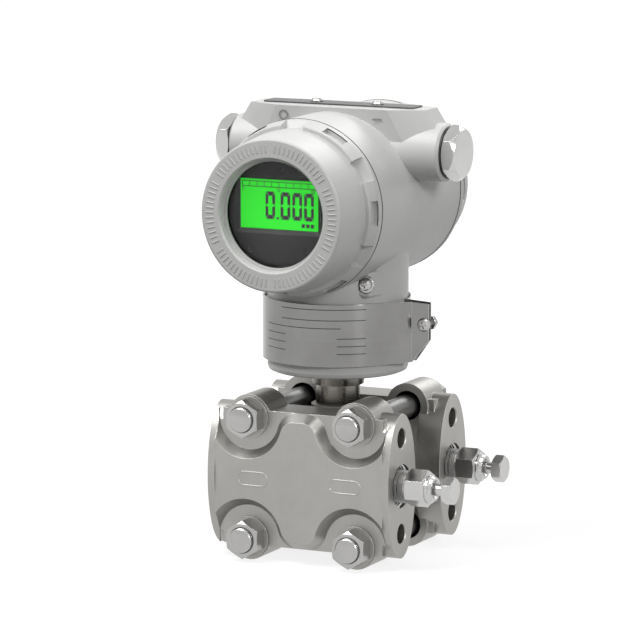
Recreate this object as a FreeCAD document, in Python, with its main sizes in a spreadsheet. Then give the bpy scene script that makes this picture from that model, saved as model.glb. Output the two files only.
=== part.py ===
import FreeCAD, Part
import math
import os
import Sketcher

# Differential pressure transmitter, in millimetres.
# The origin is the centre of the process face, midway between the two ports.
# +Z is up, +X runs from the process face to the vent valves, the display faces -Y.

Vector = FreeCAD.Vector
Rotation = FreeCAD.Rotation

UP = Vector(0, 0, 1)
FRONT = Vector(0, -1, 0)
REAR = Vector(0, 1, 0)
RIGHT = Vector(1, 0, 0)
LEFT = Vector(-1, 0, 0)

SIZES = (
    # Fits shared by all pieces
    ("snug", 0.05),
    ("running", 0.08),
    ("moving_gap", 0.3),
    # Process flanges
    ("axis_x", 42.5),
    ("ear_y", 27),
    ("ear_half_width", 14.3),
    ("ear_half_height", 31.2),
    ("ear_thick", 11.7),
    ("plate_half_x", 37.5),
    ("plate_half_z", 29.5),
    ("plate_inner_y", 18),
    ("seat_y", 36),
    ("plateau_rise", 4.6),
    ("plateau_half_x", 39.4),
    ("plateau_slope", 3.4),
    ("plateau_corner", 6),
    ("pocket_r", 17.5),
    ("bolt_x", 25),
    ("bolt_z", 26.2),
    ("boss_r", 9.8),
    ("boss_proud", 0.6),
    ("bolt_hole_r", 6.4),
    ("port_r", 9.45),
    ("port_depth", 9),
    ("port_thread_r", 6.7),
    ("port_thread_depth", 25),
    ("passage_r", 3),
    ("branch_r", 2.4),
    ("tap_half_pitch", 20.65),
    ("process_tap_r", 4.95),
    ("vent_tap_r", 4.25),
    ("tap_depth", 11),
    ("tap_chamfer", 0.5),
    ("diaphragm_r", 20),
    # Sensor capsule and stem
    ("capsule_r", 27.5),
    ("gasket_thick", 1.5),
    ("gasket_width", 3),
    ("diaphragm_thick", 0.4),
    ("saddle_r", 11.5),
    ("saddle_top", 28.4),
    ("stem_r", 9.6),
    ("collar_bottom", 37.4),
    ("collar_r", 11.2),
    ("collar_top_r", 12.2),
    ("stem_thread_r", 10.4),
    ("stem_top", 62),
    ("stem_bore_r", 5),
    # Flange bolts, nuts and washers
    ("bolt_r", 5),
    ("washer_r", 9.1),
    ("washer_thick", 1),
    ("nut_flats", 14.5),
    ("nut_thick", 7.2),
    ("bolt_head_thick", 6.4),
    ("bolt_end_y", 45.1),
    ("bolt_dome", 0.9),
    ("hex_face_share", 0.97),
    ("hex_chamfer_angle", 30),
    ("hex_roll", 30),
    ("cross_roll", 15),
    # Vent valves
    ("vent_flats", 14),
    ("vent_hex_start", 3.8),
    ("vent_hex_end", 12.8),
    ("vent_collar_r", 6.3),
    ("vent_collar_end", 15.6),
    ("vent_rim_r", 5.1),
    ("vent_shank_in", 20),
    ("vent_bore_r", 2.6),
    ("vent_seat_r", 1.2),
    ("vent_stem_tip", 6),
    ("vent_stem_hex_start", 20),
    ("vent_stem_end", 24.7),
    ("vent_stem_flats", 10.4),
    ("vent_ball_r", 1.5),
    # Housing
    ("barrel_z", 118),
    ("barrel_r", 37.6),
    ("front_joint_y", 36.6),
    ("rear_joint_y", 45.4),
    ("joint_gap", 0.6),
    ("neck_r", 30.4),
    ("neck_bottom", 43.6),
    ("neck_round", 2),
    ("belt_inset", 1.5),
    ("belt_proud", 0.75),
    ("belt_shift", 0.65),
    ("cover_thread_r", 33),
    ("cover_thread_depth", 11),
    ("chamber_r", 30.6),
    ("partition_y", 10),
    ("partition_thick", 5),
    ("pad_y", 5.5),
    ("pad_proud", 2),
    ("pad_drop", 23),
    ("pad_face_half_x", 26),
    ("pad_face_half_y", 13),
    ("pad_foot_half_y", 10.5),
    ("pad_end_half_x", 41),
    ("pad_end_half_y", 6.4),
    ("pad_face_flare", 0.5),
    ("pad_end_flare", 0.65),
    ("pad_limit_x", 46),
    ("conduit_drop", 18.4),
    ("conduit_r", 12.5),
    ("conduit_reach", 11.7),
    ("conduit_bore_r", 9.3),
    ("conduit_thread_x", 33),
    ("conduit_way_r", 6.5),
    ("conduit_inner_x", 18),
    ("conduit_rim", 1),
    ("wire_way_r", 4),
    ("wire_way_rise", 6),
    ("ground_inset", 7.3),
    ("ground_drop", 3.73),
    ("ground_stand", 2.84),
    ("ground_flank", 1.8),
    ("ground_flank_inset", 0.6),
    ("ground_flank_y", 4),
    ("ground_boss_r", 5.1),
    ("ground_pocket_r", 3.9),
    ("ground_pocket_depth", 1.6),
    ("ground_tap_depth", 10),
    ("set_screw_rise", 3.2),
    ("set_screw_r", 1.8),
    # Covers
    ("cover_length", 29.8),
    ("rear_cover_length", 20.4),
    ("cover_face_r", 32.3),
    ("cover_edge_round", 1.1),
    ("rim_width", 3),
    ("lug_length", 9),
    ("lug_foot_r", 34.2),
    ("recess_foot", 4.9),
    ("recess_angle", 16.5),
    ("slot_angle", 16.5),
    ("slot_start", 3.4),
    ("slot_end", 7.8),
    ("slot_floor_r", 35.2),
    ("lug_count", 6),
    ("window_outer_r", 24.4),
    ("window_step_r", 23.7),
    ("window_bevel", 0.9),
    ("window_step_depth", 3.6),
    ("window_r", 22.5),
    ("window_depth", 5.2),
    ("glass_r", 26.2),
    ("glass_thick", 2.2),
    ("retainer_thick", 2.4),
    ("retainer_bore_r", 23.6),
    ("cover_cavity_r", 30),
    ("cover_wall", 4),
    ("seal_inner_r", 33.6),
    ("seal_outer_r", 37),
    # Display and electronics
    ("bezel_r", 23.2),
    ("bezel_thick", 4.6),
    ("bezel_gap", 0.3),
    ("lcd_width", 36),
    ("lcd_height", 20.9),
    ("lcd_rise", 3.7),
    ("lcd_recess", 1.2),
    ("board_thick", 1.6),
    ("can_r", 27.4),
    ("terminal_r", 25),
    ("terminal_thick", 14),
    ("terminal_screw_r", 3.2),
    ("terminal_screw_x", 12),
    ("terminal_screw_height", 2),
    # Conduit plugs
    ("plug_flats", 21),
    ("plug_hex_thick", 6.4),
    ("plug_shank", 13),
    ("plug_chamfer_angle", 52),
    ("plug_seal_thick", 0.7),
    ("plug_seal_r", 11),
    # Top plate, its screws and the buttons below it
    ("top_plate_half_x", 35.4),
    ("top_plate_half_y", 5.5),
    ("top_plate_thick", 0.7),
    ("top_plate_corner", 1),
    ("top_plate_shift", 0.45),
    ("plate_screw_x", 14.3),
    ("plate_screw_shift", 1.7),
    ("plate_screw_r", 1.5),
    ("plate_screw_head_r", 2.7),
    ("plate_screw_head", 1.5),
    ("plate_screw_depth", 7),
    ("button_x", 22),
    ("button_r", 2.6),
    ("button_length", 4.6),
    ("button_below_pad", 0.4),
    ("button_bore_depth", 9.5),
    ("return_pad_r", 2.2),
    ("return_pad_bore_r", 1.2),
    # Tag band
    ("band_thick", 0.8),
    ("band_bottom", 49.2),
    ("band_top", 76),
    ("band_leave_angle", 40),
    ("band_ear_reach", 4.65),
    ("band_ear_length", 7.9),
    ("band_ear_y", 2.8),
    ("band_ear_slant", 9.5),
    ("band_ear_drop", 1.3),
    ("band_rear_ear_trim", 1.2),
    ("band_screw_from_end", 2.1),
    ("band_screw_rise", 16.6),
    ("band_screw_r", 1.6),
    ("band_screw_head_r", 2.9),
    ("band_screw_head", 1.9),
    # Ground screw
    ("ground_screw_r", 1.7),
    ("ground_head_r", 2.7),
    ("ground_head", 2),
    ("ground_washer_r", 3.6),
    ("ground_washer_thick", 0.8),
)

doc = FreeCAD.newDocument("transmitter")
dims = doc.addObject("Spreadsheet::Sheet", "dims")
for row, (name, value) in enumerate(SIZES, start=1):
    dims.set(f"A{row}", name)
    dims.set(f"B{row}", str(value))
    dims.setAlias(f"B{row}", name)
doc.recompute()

nodes = []


def bind(thing, **texts):
    """Ties properties to expressions of the sheet."""
    for prop, text in texts.items():
        thing.setExpression(prop, text)
    return thing


def place(thing, x="0", y="0", z="0", facing=UP, roll=0):
    """Puts a shape at a point given by expressions, with its own +Z turned to face one way."""
    thing.Placement = FreeCAD.Placement(Vector(), Rotation(UP, facing).multiply(Rotation(UP, roll)))
    for axis, text in zip("xyz", (x, y, z)):
        if text != "0":
            thing.setExpression(f"Placement.Base.{axis}", text)
    return thing


def node(thing, label, x="0", y="0", z="0", facing=UP, roll=0):
    """Names a sub-part and stands it in the part's frame; x is counted from the neck axis."""
    place(thing, f"dims.axis_x + {x}", y, z, facing, roll)
    thing.Label = label
    nodes.append(thing)
    return thing


def cylinder(name, radius, length, x="0", y="0", z="0", facing=UP):
    shape = bind(doc.addObject("Part::Cylinder", name), Radius=radius, Height=length)
    return place(shape, x, y, z, facing)


def cone(name, foot, top, length, x="0", y="0", z="0", facing=UP):
    shape = bind(doc.addObject("Part::Cone", name), Radius1=foot, Radius2=top, Height=length)
    return place(shape, x, y, z, facing)


def box(name, low, high):
    """A box between two corners, each corner three expressions."""
    shape = doc.addObject("Part::Box", name)
    for prop, near, far in zip(("Length", "Width", "Height"), low, high):
        shape.setExpression(prop, f"({far}) - ({near})")
    return place(shape, *low)


def fuse(name, shapes):
    both = doc.addObject("Part::MultiFuse", name)
    both.Shapes = shapes
    return both


def group(name, shapes):
    """Keeps shapes as separate solids of one piece."""
    held = doc.addObject("Part::Compound", name)
    held.Links = shapes
    return held


def common(name, shapes):
    both = doc.addObject("Part::MultiCommon", name)
    both.Shapes = shapes
    return both


def cut(name, base, tools):
    """Takes one tool, or several fused ones, off a base."""
    left = doc.addObject("Part::Cut", name)
    left.Base = base
    left.Tool = tools[0] if len(tools) == 1 else fuse(name + "_tools", tools)
    return left


def mirror(name, source, normal):
    copy = doc.addObject("Part::Mirroring", name)
    copy.Source = source
    copy.Normal = normal
    return copy


def both_sides(name, source, normal):
    """A piece and its mirror image, as separate solids of one group."""
    return group(name, [source, mirror(name + "_mirror", source, normal)])


def plane_of(body, role):
    return next(feature for feature in body.Origin.OriginFeatures if feature.Role == role)


def outline(body, name, role, points):
    """A closed outline of straight edges; each corner is two expressions."""
    sketch = body.newObject("Sketcher::SketchObject", name)
    sketch.AttachmentSupport = [(plane_of(body, role), "")]
    sketch.MapMode = "FlatFace"
    count = len(points)
    turns = [2 * math.pi * i / count for i in range(count)]
    ring = [Vector(math.cos(turn), math.sin(turn)) for turn in turns]
    for i in range(count):
        sketch.addGeometry(Part.LineSegment(ring[i], ring[(i + 1) % count]), False)
    for i in range(count):
        sketch.addConstraint(Sketcher.Constraint("Coincident", i, 2, (i + 1) % count, 1))
    for i, (across, along) in enumerate(points):
        for kind, text in (("DistanceX", across), ("DistanceY", along)):
            index = sketch.addConstraint(Sketcher.Constraint(kind, -1, 1, i, 1, 1.0))
            sketch.setExpression(f"Constraints[{index}]", text)
    return sketch


def turned(name, points):
    """A body turned about its own Z from a half section of (radius, height) corners."""
    body = doc.addObject("PartDesign::Body", name)
    section = outline(body, name + "_section", "XZ_Plane", points)
    revolution = body.newObject("PartDesign::Revolution", name + "_turned")
    revolution.Profile = section
    revolution.ReferenceAxis = (section, ["V_Axis"])
    revolution.Angle = 360
    doc.recompute()
    return body, section


def prism_between(name, flats, low, high):
    """A six-sided bar of a size across flats, between two heights."""
    bar = doc.addObject("Part::Prism", name)
    bar.Polygon = 6
    bind(bar, Circumradius=f"({flats}) / 2 / cos(30 deg)", Height=f"({high}) - ({low})")
    return place(bar, z=low)


CHAMFER = "dims.hex_chamfer_angle"


def hexagon(name, flats, low, high, low_angle, high_angle):
    """A hex with its corners turned down at one or both ends, as on a nut."""
    bar = prism_between(name + "_bar", flats, low, high)
    corner = f"({flats}) / 2 / cos(30 deg)"
    face = f"({flats}) / 2 * dims.hex_face_share"

    def drop(angle):
        return f"({corner} - {face}) * tan({angle} * 1 deg)"

    points = [("0", low)]
    points += [(face, low), (corner, f"{low} + {drop(low_angle)}")] if low_angle else [(corner, low)]
    points += [(corner, f"{high} - {drop(high_angle)}"), (face, high)] if high_angle else [(corner, high)]
    points += [("0", high)]
    blank, _ = turned(name + "_blank", points)
    return common(name, [bar, blank])


# Process flanges: two like castings, each a plate with a raised plateau, four bolt
# bosses and two oval ears that carry the ports and the tapped holes. The plateau's
# sloped side sweeps round each bolt and back over its crown in one S-curve.
def flange_plateau():
    crown = "(dims.plate_half_z - dims.plateau_slope)"
    blank = bind(
        doc.addObject("Part::Wedge", "plateau_blank"),
        Ymin="-dims.seat_y - dims.plateau_rise",
        Ymax="-dims.seat_y",
        Xmin="-dims.plateau_half_x",
        Xmax="dims.plateau_half_x",
        Zmin=f"-{crown}",
        Zmax=crown,
        X2min="-dims.plateau_half_x",
        X2max="dims.plateau_half_x",
        Z2min="-dims.plate_half_z",
        Z2max="dims.plate_half_z",
    )
    pocket = cone(
        "pocket",
        "dims.pocket_r - dims.plateau_slope",
        "dims.pocket_r + dims.plateau_slope",
        "dims.plateau_rise * 2",
        "dims.bolt_x",
        "-dims.seat_y",
        "dims.bolt_z",
        FRONT,
    )
    corner_z = f"({crown} - dims.plateau_corner)"
    apart = "(dims.pocket_r + dims.plateau_corner)"
    corner_x = f"(dims.bolt_x - sqrt({apart} ^ 2 - (dims.bolt_z - {corner_z}) ^ 2))"
    wedge = doc.addObject("PartDesign::Body", "corner_wedge")
    slice_up = wedge.newObject("PartDesign::Pad", "corner_wedge_pad")
    slice_up.Profile = outline(
        wedge,
        "corner_wedge_outline",
        "XZ_Plane",
        [
            (corner_x, corner_z),
            ("dims.bolt_x", "dims.bolt_z"),
            ("dims.bolt_x", "dims.plate_half_z + 1"),
            (corner_x, "dims.plate_half_z + 1"),
        ],
    )
    slice_up.setExpression("Length", "dims.plateau_rise + 1")
    place(wedge, y="-dims.seat_y")
    keep = cone(
        "corner_keep",
        "dims.plateau_corner + dims.plateau_slope",
        "dims.plateau_corner - dims.plateau_slope",
        "dims.plateau_rise * 2",
        corner_x,
        "-dims.seat_y",
        corner_z,
        FRONT,
    )
    corner = cut("corner", wedge, [keep])
    quarter = fuse("pocket_and_corner", [pocket, corner])
    quarters = both_sides("pockets", both_sides("pocket_pair", quarter, RIGHT), UP)
    return cut("plateau", blank, [quarters])


def tap_holes(side, radius, x, facing):
    """The two tapped holes in one end of an ear, with their mouths countersunk."""
    place_x, place_y, place_z = x, "-dims.ear_y", "dims.tap_half_pitch"
    drill = cylinder(f"{side}_tap_hole", radius, "dims.tap_depth", place_x, place_y, place_z, facing)
    sink = cone(
        f"{side}_tap_sink",
        f"{radius} + dims.tap_chamfer",
        radius,
        "dims.tap_chamfer",
        place_x,
        place_y,
        place_z,
        facing,
    )
    return both_sides(f"{side}_taps", fuse(f"{side}_tap", [drill, sink]), UP)


def flange_casting():
    section = bind(
        doc.addObject("Part::Ellipse", "ear_section"),
        MajorRadius="dims.ear_half_height",
        MinorRadius="dims.ear_half_width",
    )
    section.Placement = FreeCAD.Placement(Vector(), Rotation(REAR, -90))
    section.setExpression("Placement.Base.y", "-dims.ear_y")
    ear_bar = doc.addObject("Part::Extrusion", "ear_bar")
    ear_bar.Base = section
    ear_bar.DirMode = "Custom"
    ear_bar.Dir = RIGHT
    ear_bar.Solid = True
    bind(ear_bar, LengthFwd="dims.axis_x", LengthRev="dims.axis_x")
    between = box(
        "between_ears",
        ("-dims.axis_x + dims.ear_thick", "-dims.seat_y * 2", "-dims.seat_y * 2"),
        ("dims.axis_x - dims.ear_thick", "dims.seat_y", "dims.seat_y * 2"),
    )
    before_seat = box(
        "before_seat",
        ("-dims.plateau_half_x", "-dims.seat_y * 2", "-dims.seat_y * 2"),
        ("dims.plateau_half_x", "-dims.seat_y", "dims.seat_y * 2"),
    )
    ears = cut("ears", ear_bar, [between, before_seat])
    plate = box(
        "plate",
        ("-dims.plate_half_x", "-dims.seat_y", "-dims.plate_half_z"),
        ("dims.plate_half_x", "-dims.plate_inner_y", "dims.plate_half_z"),
    )
    plateau = flange_plateau()
    boss = cylinder(
        "boss",
        "dims.boss_r",
        "dims.seat_y - dims.plate_inner_y + dims.boss_proud",
        "dims.bolt_x",
        "-dims.seat_y",
        "dims.bolt_z",
        REAR,
    )
    bosses = both_sides("bosses", both_sides("boss_pair", boss, RIGHT), UP)
    solid = fuse("flange_solid", [ears, plate, plateau, bosses])
    bolt_hole = cylinder(
        "bolt_hole",
        "dims.bolt_hole_r",
        "dims.seat_y * 2",
        "dims.bolt_x",
        "-dims.seat_y * 2",
        "dims.bolt_z",
        REAR,
    )
    bolt_holes = both_sides("bolt_holes", both_sides("bolt_hole_pair", bolt_hole, RIGHT), UP)
    mouth = cylinder(
        "port_mouth",
        "dims.port_r",
        "dims.port_depth",
        "dims.axis_x",
        "-dims.ear_y",
        "0",
        LEFT,
    )
    thread = cylinder(
        "port_thread",
        "dims.port_thread_r",
        "dims.port_thread_depth",
        "dims.axis_x",
        "-dims.ear_y",
        "0",
        LEFT,
    )
    end_cuts = both_sides("end_cuts", fuse("end_cut", [mouth, thread]), RIGHT)
    taps = [
        tap_holes("process", "dims.process_tap_r", "-dims.axis_x", RIGHT),
        tap_holes("vent", "dims.vent_tap_r", "dims.axis_x", LEFT),
    ]
    passage = cylinder(
        "passage",
        "dims.passage_r",
        "dims.axis_x * 2",
        "-dims.axis_x",
        "-dims.ear_y",
        "0",
        RIGHT,
    )
    branch = cylinder("branch", "dims.branch_r", "dims.ear_y", "0", "-dims.ear_y", "0", REAR)
    dish = cylinder("dish", "dims.diaphragm_r", "dims.gasket_thick", "0", "-dims.plate_inner_y", "0", FRONT)
    return cut("flange_casting", solid, [bolt_holes, end_cuts, *taps, passage, branch, dish])


def add_flanges():
    casting = flange_casting()
    node(group("front_flange", [casting]), "front_flange")
    node(mirror("rear_flange", casting, REAR), "rear_flange")


# Sensor capsule: a short drum between the flanges with a saddle for the stem, closed
# on each side by a thin diaphragm and sealed to the flange by a flat ring.
def add_sensor():
    drum = cylinder(
        "capsule_drum",
        "dims.capsule_r",
        "(dims.plate_inner_y - dims.gasket_thick) * 2",
        y="-dims.plate_inner_y + dims.gasket_thick",
        facing=REAR,
    )
    saddle = cylinder("capsule_saddle", "dims.saddle_r", "dims.saddle_top")
    node(fuse("sensor_capsule", [drum, saddle]), "sensor_capsule")
    outer = "dims.diaphragm_r + dims.gasket_width + dims.snug"
    for side, sign, facing in (("high", "-", FRONT), ("low", "", REAR)):
        ring = cut(
            f"{side}_side_gasket",
            cylinder(f"{side}_gasket_disc", outer, "dims.gasket_thick"),
            [cylinder(f"{side}_gasket_hole", "dims.diaphragm_r + dims.snug", "dims.gasket_thick")],
        )
        seat = f"{sign}(dims.plate_inner_y - dims.gasket_thick)"
        node(ring, f"{side}_side_gasket", y=seat, facing=facing)
        disc = cylinder(f"{side}_diaphragm", "dims.diaphragm_r", "dims.diaphragm_thick")
        node(disc, f"{side}_diaphragm", y=seat, facing=facing)
    stem, _ = turned(
        "sensor_stem",
        [
            ("dims.stem_bore_r", "dims.saddle_top"),
            ("dims.stem_r", "dims.saddle_top"),
            ("dims.stem_r", "dims.collar_bottom"),
            ("dims.collar_r", "dims.collar_bottom"),
            ("dims.collar_top_r", "dims.neck_bottom - dims.moving_gap"),
            ("dims.stem_thread_r", "dims.neck_bottom - dims.moving_gap"),
            ("dims.stem_thread_r", "dims.stem_top"),
            ("dims.stem_bore_r", "dims.stem_top"),
        ],
    )
    node(stem, "sensor_stem")


# Four through bolts: hex heads and washers at the rear, nuts and washers at the front.
def add_flange_bolts():
    shank, _ = turned(
        "bolt_shank",
        [
            ("0", "-dims.bolt_end_y"),
            ("dims.bolt_r * 0.62", "-dims.bolt_end_y + 0.15 * dims.bolt_dome"),
            ("dims.bolt_r - 0.35", "-dims.bolt_end_y + dims.bolt_dome"),
            ("dims.bolt_r - 0.35", "-dims.bolt_end_y + dims.bolt_dome + 0.4"),
            ("dims.bolt_r", "-dims.bolt_end_y + dims.bolt_dome + 0.8"),
            ("dims.bolt_r", "dims.seat_y + dims.washer_thick"),
            ("0", "dims.seat_y + dims.washer_thick"),
        ],
    )
    head = hexagon(
        "bolt_head",
        "dims.nut_flats",
        "dims.seat_y + dims.washer_thick",
        "dims.seat_y + dims.washer_thick + dims.bolt_head_thick",
        None,
        CHAMFER,
    )
    bolt = place(fuse("bolt", [shank, head]), "dims.bolt_x", "0", "dims.bolt_z", REAR, dims.hex_roll)
    bolts = both_sides("flange_bolts", both_sides("bolt_pair", bolt, RIGHT), UP)
    node(bolts, "flange_bolts")
    nut_hex = hexagon(
        "nut_hex",
        "dims.nut_flats",
        "dims.seat_y + dims.washer_thick",
        "dims.seat_y + dims.washer_thick + dims.nut_thick",
        None,
        CHAMFER,
    )
    nut_bore = cylinder("nut_bore", "dims.bolt_r + dims.snug", "dims.seat_y * 2")
    nut = place(cut("nut", nut_hex, [nut_bore]), "dims.bolt_x", "0", "dims.bolt_z", FRONT, dims.hex_roll)
    node(both_sides("flange_nuts", both_sides("nut_pair", nut, RIGHT), UP), "flange_nuts")
    washer = cut(
        "washer",
        cylinder("washer_disc", "dims.washer_r", "dims.washer_thick"),
        [cylinder("washer_hole", "dims.bolt_r + dims.snug", "dims.washer_thick")],
    )
    place(washer, "dims.bolt_x", "-dims.seat_y", "dims.bolt_z", FRONT)
    four = both_sides("washer_four", both_sides("washer_pair", washer, RIGHT), UP)
    node(both_sides("flange_washers", four, REAR), "flange_washers")


# Vent valves: a hex body screwed into the port and a small hex stem in its bore,
# closed by a ball crimped in the stem's tip.
def add_vent_valves():
    for side, y in (("front", "-dims.ear_y"), ("rear", "dims.ear_y")):
        blank, _ = turned(
            f"{side}_vent_blank",
            [
                ("dims.vent_seat_r", "-dims.vent_shank_in"),
                ("dims.port_thread_r - dims.snug - 0.6", "-dims.vent_shank_in"),
                ("dims.port_thread_r - dims.snug", "-dims.vent_shank_in + 0.6"),
                ("dims.port_thread_r - dims.snug", "dims.vent_hex_start + 0.6"),
                ("dims.vent_collar_r - 0.9", "dims.vent_hex_start + 0.6"),
                ("dims.vent_collar_r - 0.9", "dims.vent_hex_end"),
                ("dims.vent_collar_r", "dims.vent_hex_end"),
                ("dims.vent_collar_r", "dims.vent_hex_end + 1.1"),
                ("dims.vent_rim_r + 0.4", "dims.vent_hex_end + 1.6"),
                ("dims.vent_rim_r", "dims.vent_collar_end"),
                ("dims.vent_rim_r - 1.2", "dims.vent_collar_end"),
                ("dims.vent_bore_r + 0.6", "dims.vent_collar_end - 1.2"),
                ("dims.vent_bore_r", "dims.vent_collar_end - 1.2"),
                ("dims.vent_bore_r", "-dims.vent_stem_tip - dims.vent_ball_r"),
                ("dims.vent_seat_r", "-dims.vent_stem_tip - dims.vent_ball_r * 1.8"),
            ],
        )
        hex_part = hexagon(
            f"{side}_vent_hex",
            "dims.vent_flats",
            "dims.vent_hex_start",
            "dims.vent_hex_end",
            CHAMFER,
            CHAMFER,
        )
        hex_ring = cut(
            f"{side}_vent_hex_ring",
            hex_part,
            [cylinder(f"{side}_vent_hex_bore", "dims.vent_bore_r + 0.3", "dims.vent_stem_end")],
        )
        body = fuse(f"{side}_vent_body", [blank, hex_ring])
        node(body, f"{side}_vent_body", "dims.axis_x", y, "0", RIGHT, 0)
        rod, _ = turned(
            f"{side}_vent_rod",
            [
                ("0", "-dims.vent_stem_tip"),
                ("dims.vent_ball_r - 0.5", "-dims.vent_stem_tip"),
                ("dims.vent_bore_r - dims.running", "-dims.vent_stem_tip + 2"),
                ("dims.vent_bore_r - dims.running", "dims.vent_stem_hex_start"),
                ("0", "dims.vent_stem_hex_start"),
            ],
        )
        head = hexagon(
            f"{side}_vent_stem_hex",
            "dims.vent_stem_flats",
            "dims.vent_stem_hex_start",
            "dims.vent_stem_end",
            CHAMFER,
            CHAMFER,
        )
        stem = fuse(f"{side}_vent_stem", [rod, head])
        node(stem, f"{side}_vent_stem", "dims.axis_x", y, "0", RIGHT, 0)
        ball = bind(doc.addObject("Part::Sphere", f"{side}_vent_ball"), Radius="dims.vent_ball_r")
        ball_x = "dims.axis_x - dims.vent_stem_tip - dims.vent_ball_r - dims.snug"
        node(ball, f"{side}_vent_ball", ball_x, y)


# Housing: one casting. The barrel has a chamber at each end behind a threaded mouth,
# the neck takes the stem, and the pad on top runs into the two conduit bosses.
PAD_TOP = "(dims.barrel_z + dims.barrel_r + dims.pad_proud)"
CONDUIT_X = "(dims.barrel_r + dims.conduit_reach)"
CONDUIT_Z = f"({PAD_TOP} - dims.conduit_drop)"
GROUND_X = "(dims.neck_r - dims.ground_inset)"
GROUND_Y = f"(-sqrt(dims.neck_r ^ 2 - {GROUND_X} ^ 2) - dims.ground_stand)"
GROUND_Z = f"(dims.barrel_z - sqrt(dims.barrel_r ^ 2 - {GROUND_X} ^ 2) - dims.ground_drop)"


def pad_block():
    body = doc.addObject("PartDesign::Body", "pad")

    def octagon(name, drop, face_y):
        face_x = f"(dims.pad_face_half_x + dims.pad_face_flare * ({drop}))"
        end_x = f"(dims.pad_end_half_x + dims.pad_end_flare * ({drop}))"
        end_y = "dims.pad_end_half_y"
        corners = [
            (face_x, f"-{face_y}"),
            (end_x, f"-{end_y}"),
            (end_x, end_y),
            (face_x, face_y),
            (f"-{face_x}", face_y),
            (f"-{end_x}", end_y),
            (f"-{end_x}", f"-{end_y}"),
            (f"-{face_x}", f"-{face_y}"),
        ]
        sketch = outline(body, name, "XY_Plane", corners)
        sketch.setExpression("AttachmentOffset.Base.z", f"{PAD_TOP} - ({drop})")
        return sketch

    loft = body.newObject("PartDesign::AdditiveLoft", "pad_loft")
    top = octagon("pad_top_outline", "0", "dims.pad_face_half_y")
    foot = octagon("pad_foot_outline", "dims.pad_drop", "dims.pad_foot_half_y")
    loft.Profile = top
    loft.Sections = [foot]
    loft.Ruled = True
    place(body, y="dims.pad_y")
    limit = box(
        "pad_limit",
        ("-dims.pad_limit_x", "-dims.barrel_r", "dims.barrel_z"),
        ("dims.pad_limit_x", "dims.barrel_r", f"{PAD_TOP} * 2"),
    )
    return common("pad_limited", [body, limit])


def ground_boss():
    """A round pad on the neck, cut off flat on the right where it runs back into the neck."""
    log = cylinder("ground_log", "dims.ground_boss_r", f"-{GROUND_Y}", GROUND_X, GROUND_Y, GROUND_Z, REAR)
    face_end = f"{GROUND_X} + dims.ground_flank"
    left_half = box(
        "ground_left_half",
        ("0", GROUND_Y, f"{GROUND_Z} - dims.ground_boss_r"),
        (face_end, "0", f"{GROUND_Z} + dims.ground_boss_r"),
    )
    body = doc.addObject("PartDesign::Body", "ground_flank")
    flank = body.newObject("PartDesign::Pad", "ground_flank_pad")
    flank.Profile = outline(
        body,
        "ground_flank_outline",
        "XY_Plane",
        [
            (GROUND_X, GROUND_Y),
            (face_end, GROUND_Y),
            ("dims.neck_r - dims.ground_flank_inset", "-dims.ground_flank_y"),
            (GROUND_X, "-dims.ground_flank_y"),
        ],
    )
    flank.setExpression("Length", "dims.ground_boss_r * 2")
    place(body, z=f"{GROUND_Z} - dims.ground_boss_r")
    return fuse("ground_boss", [common("ground_round", [log, left_half]), body])


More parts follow.
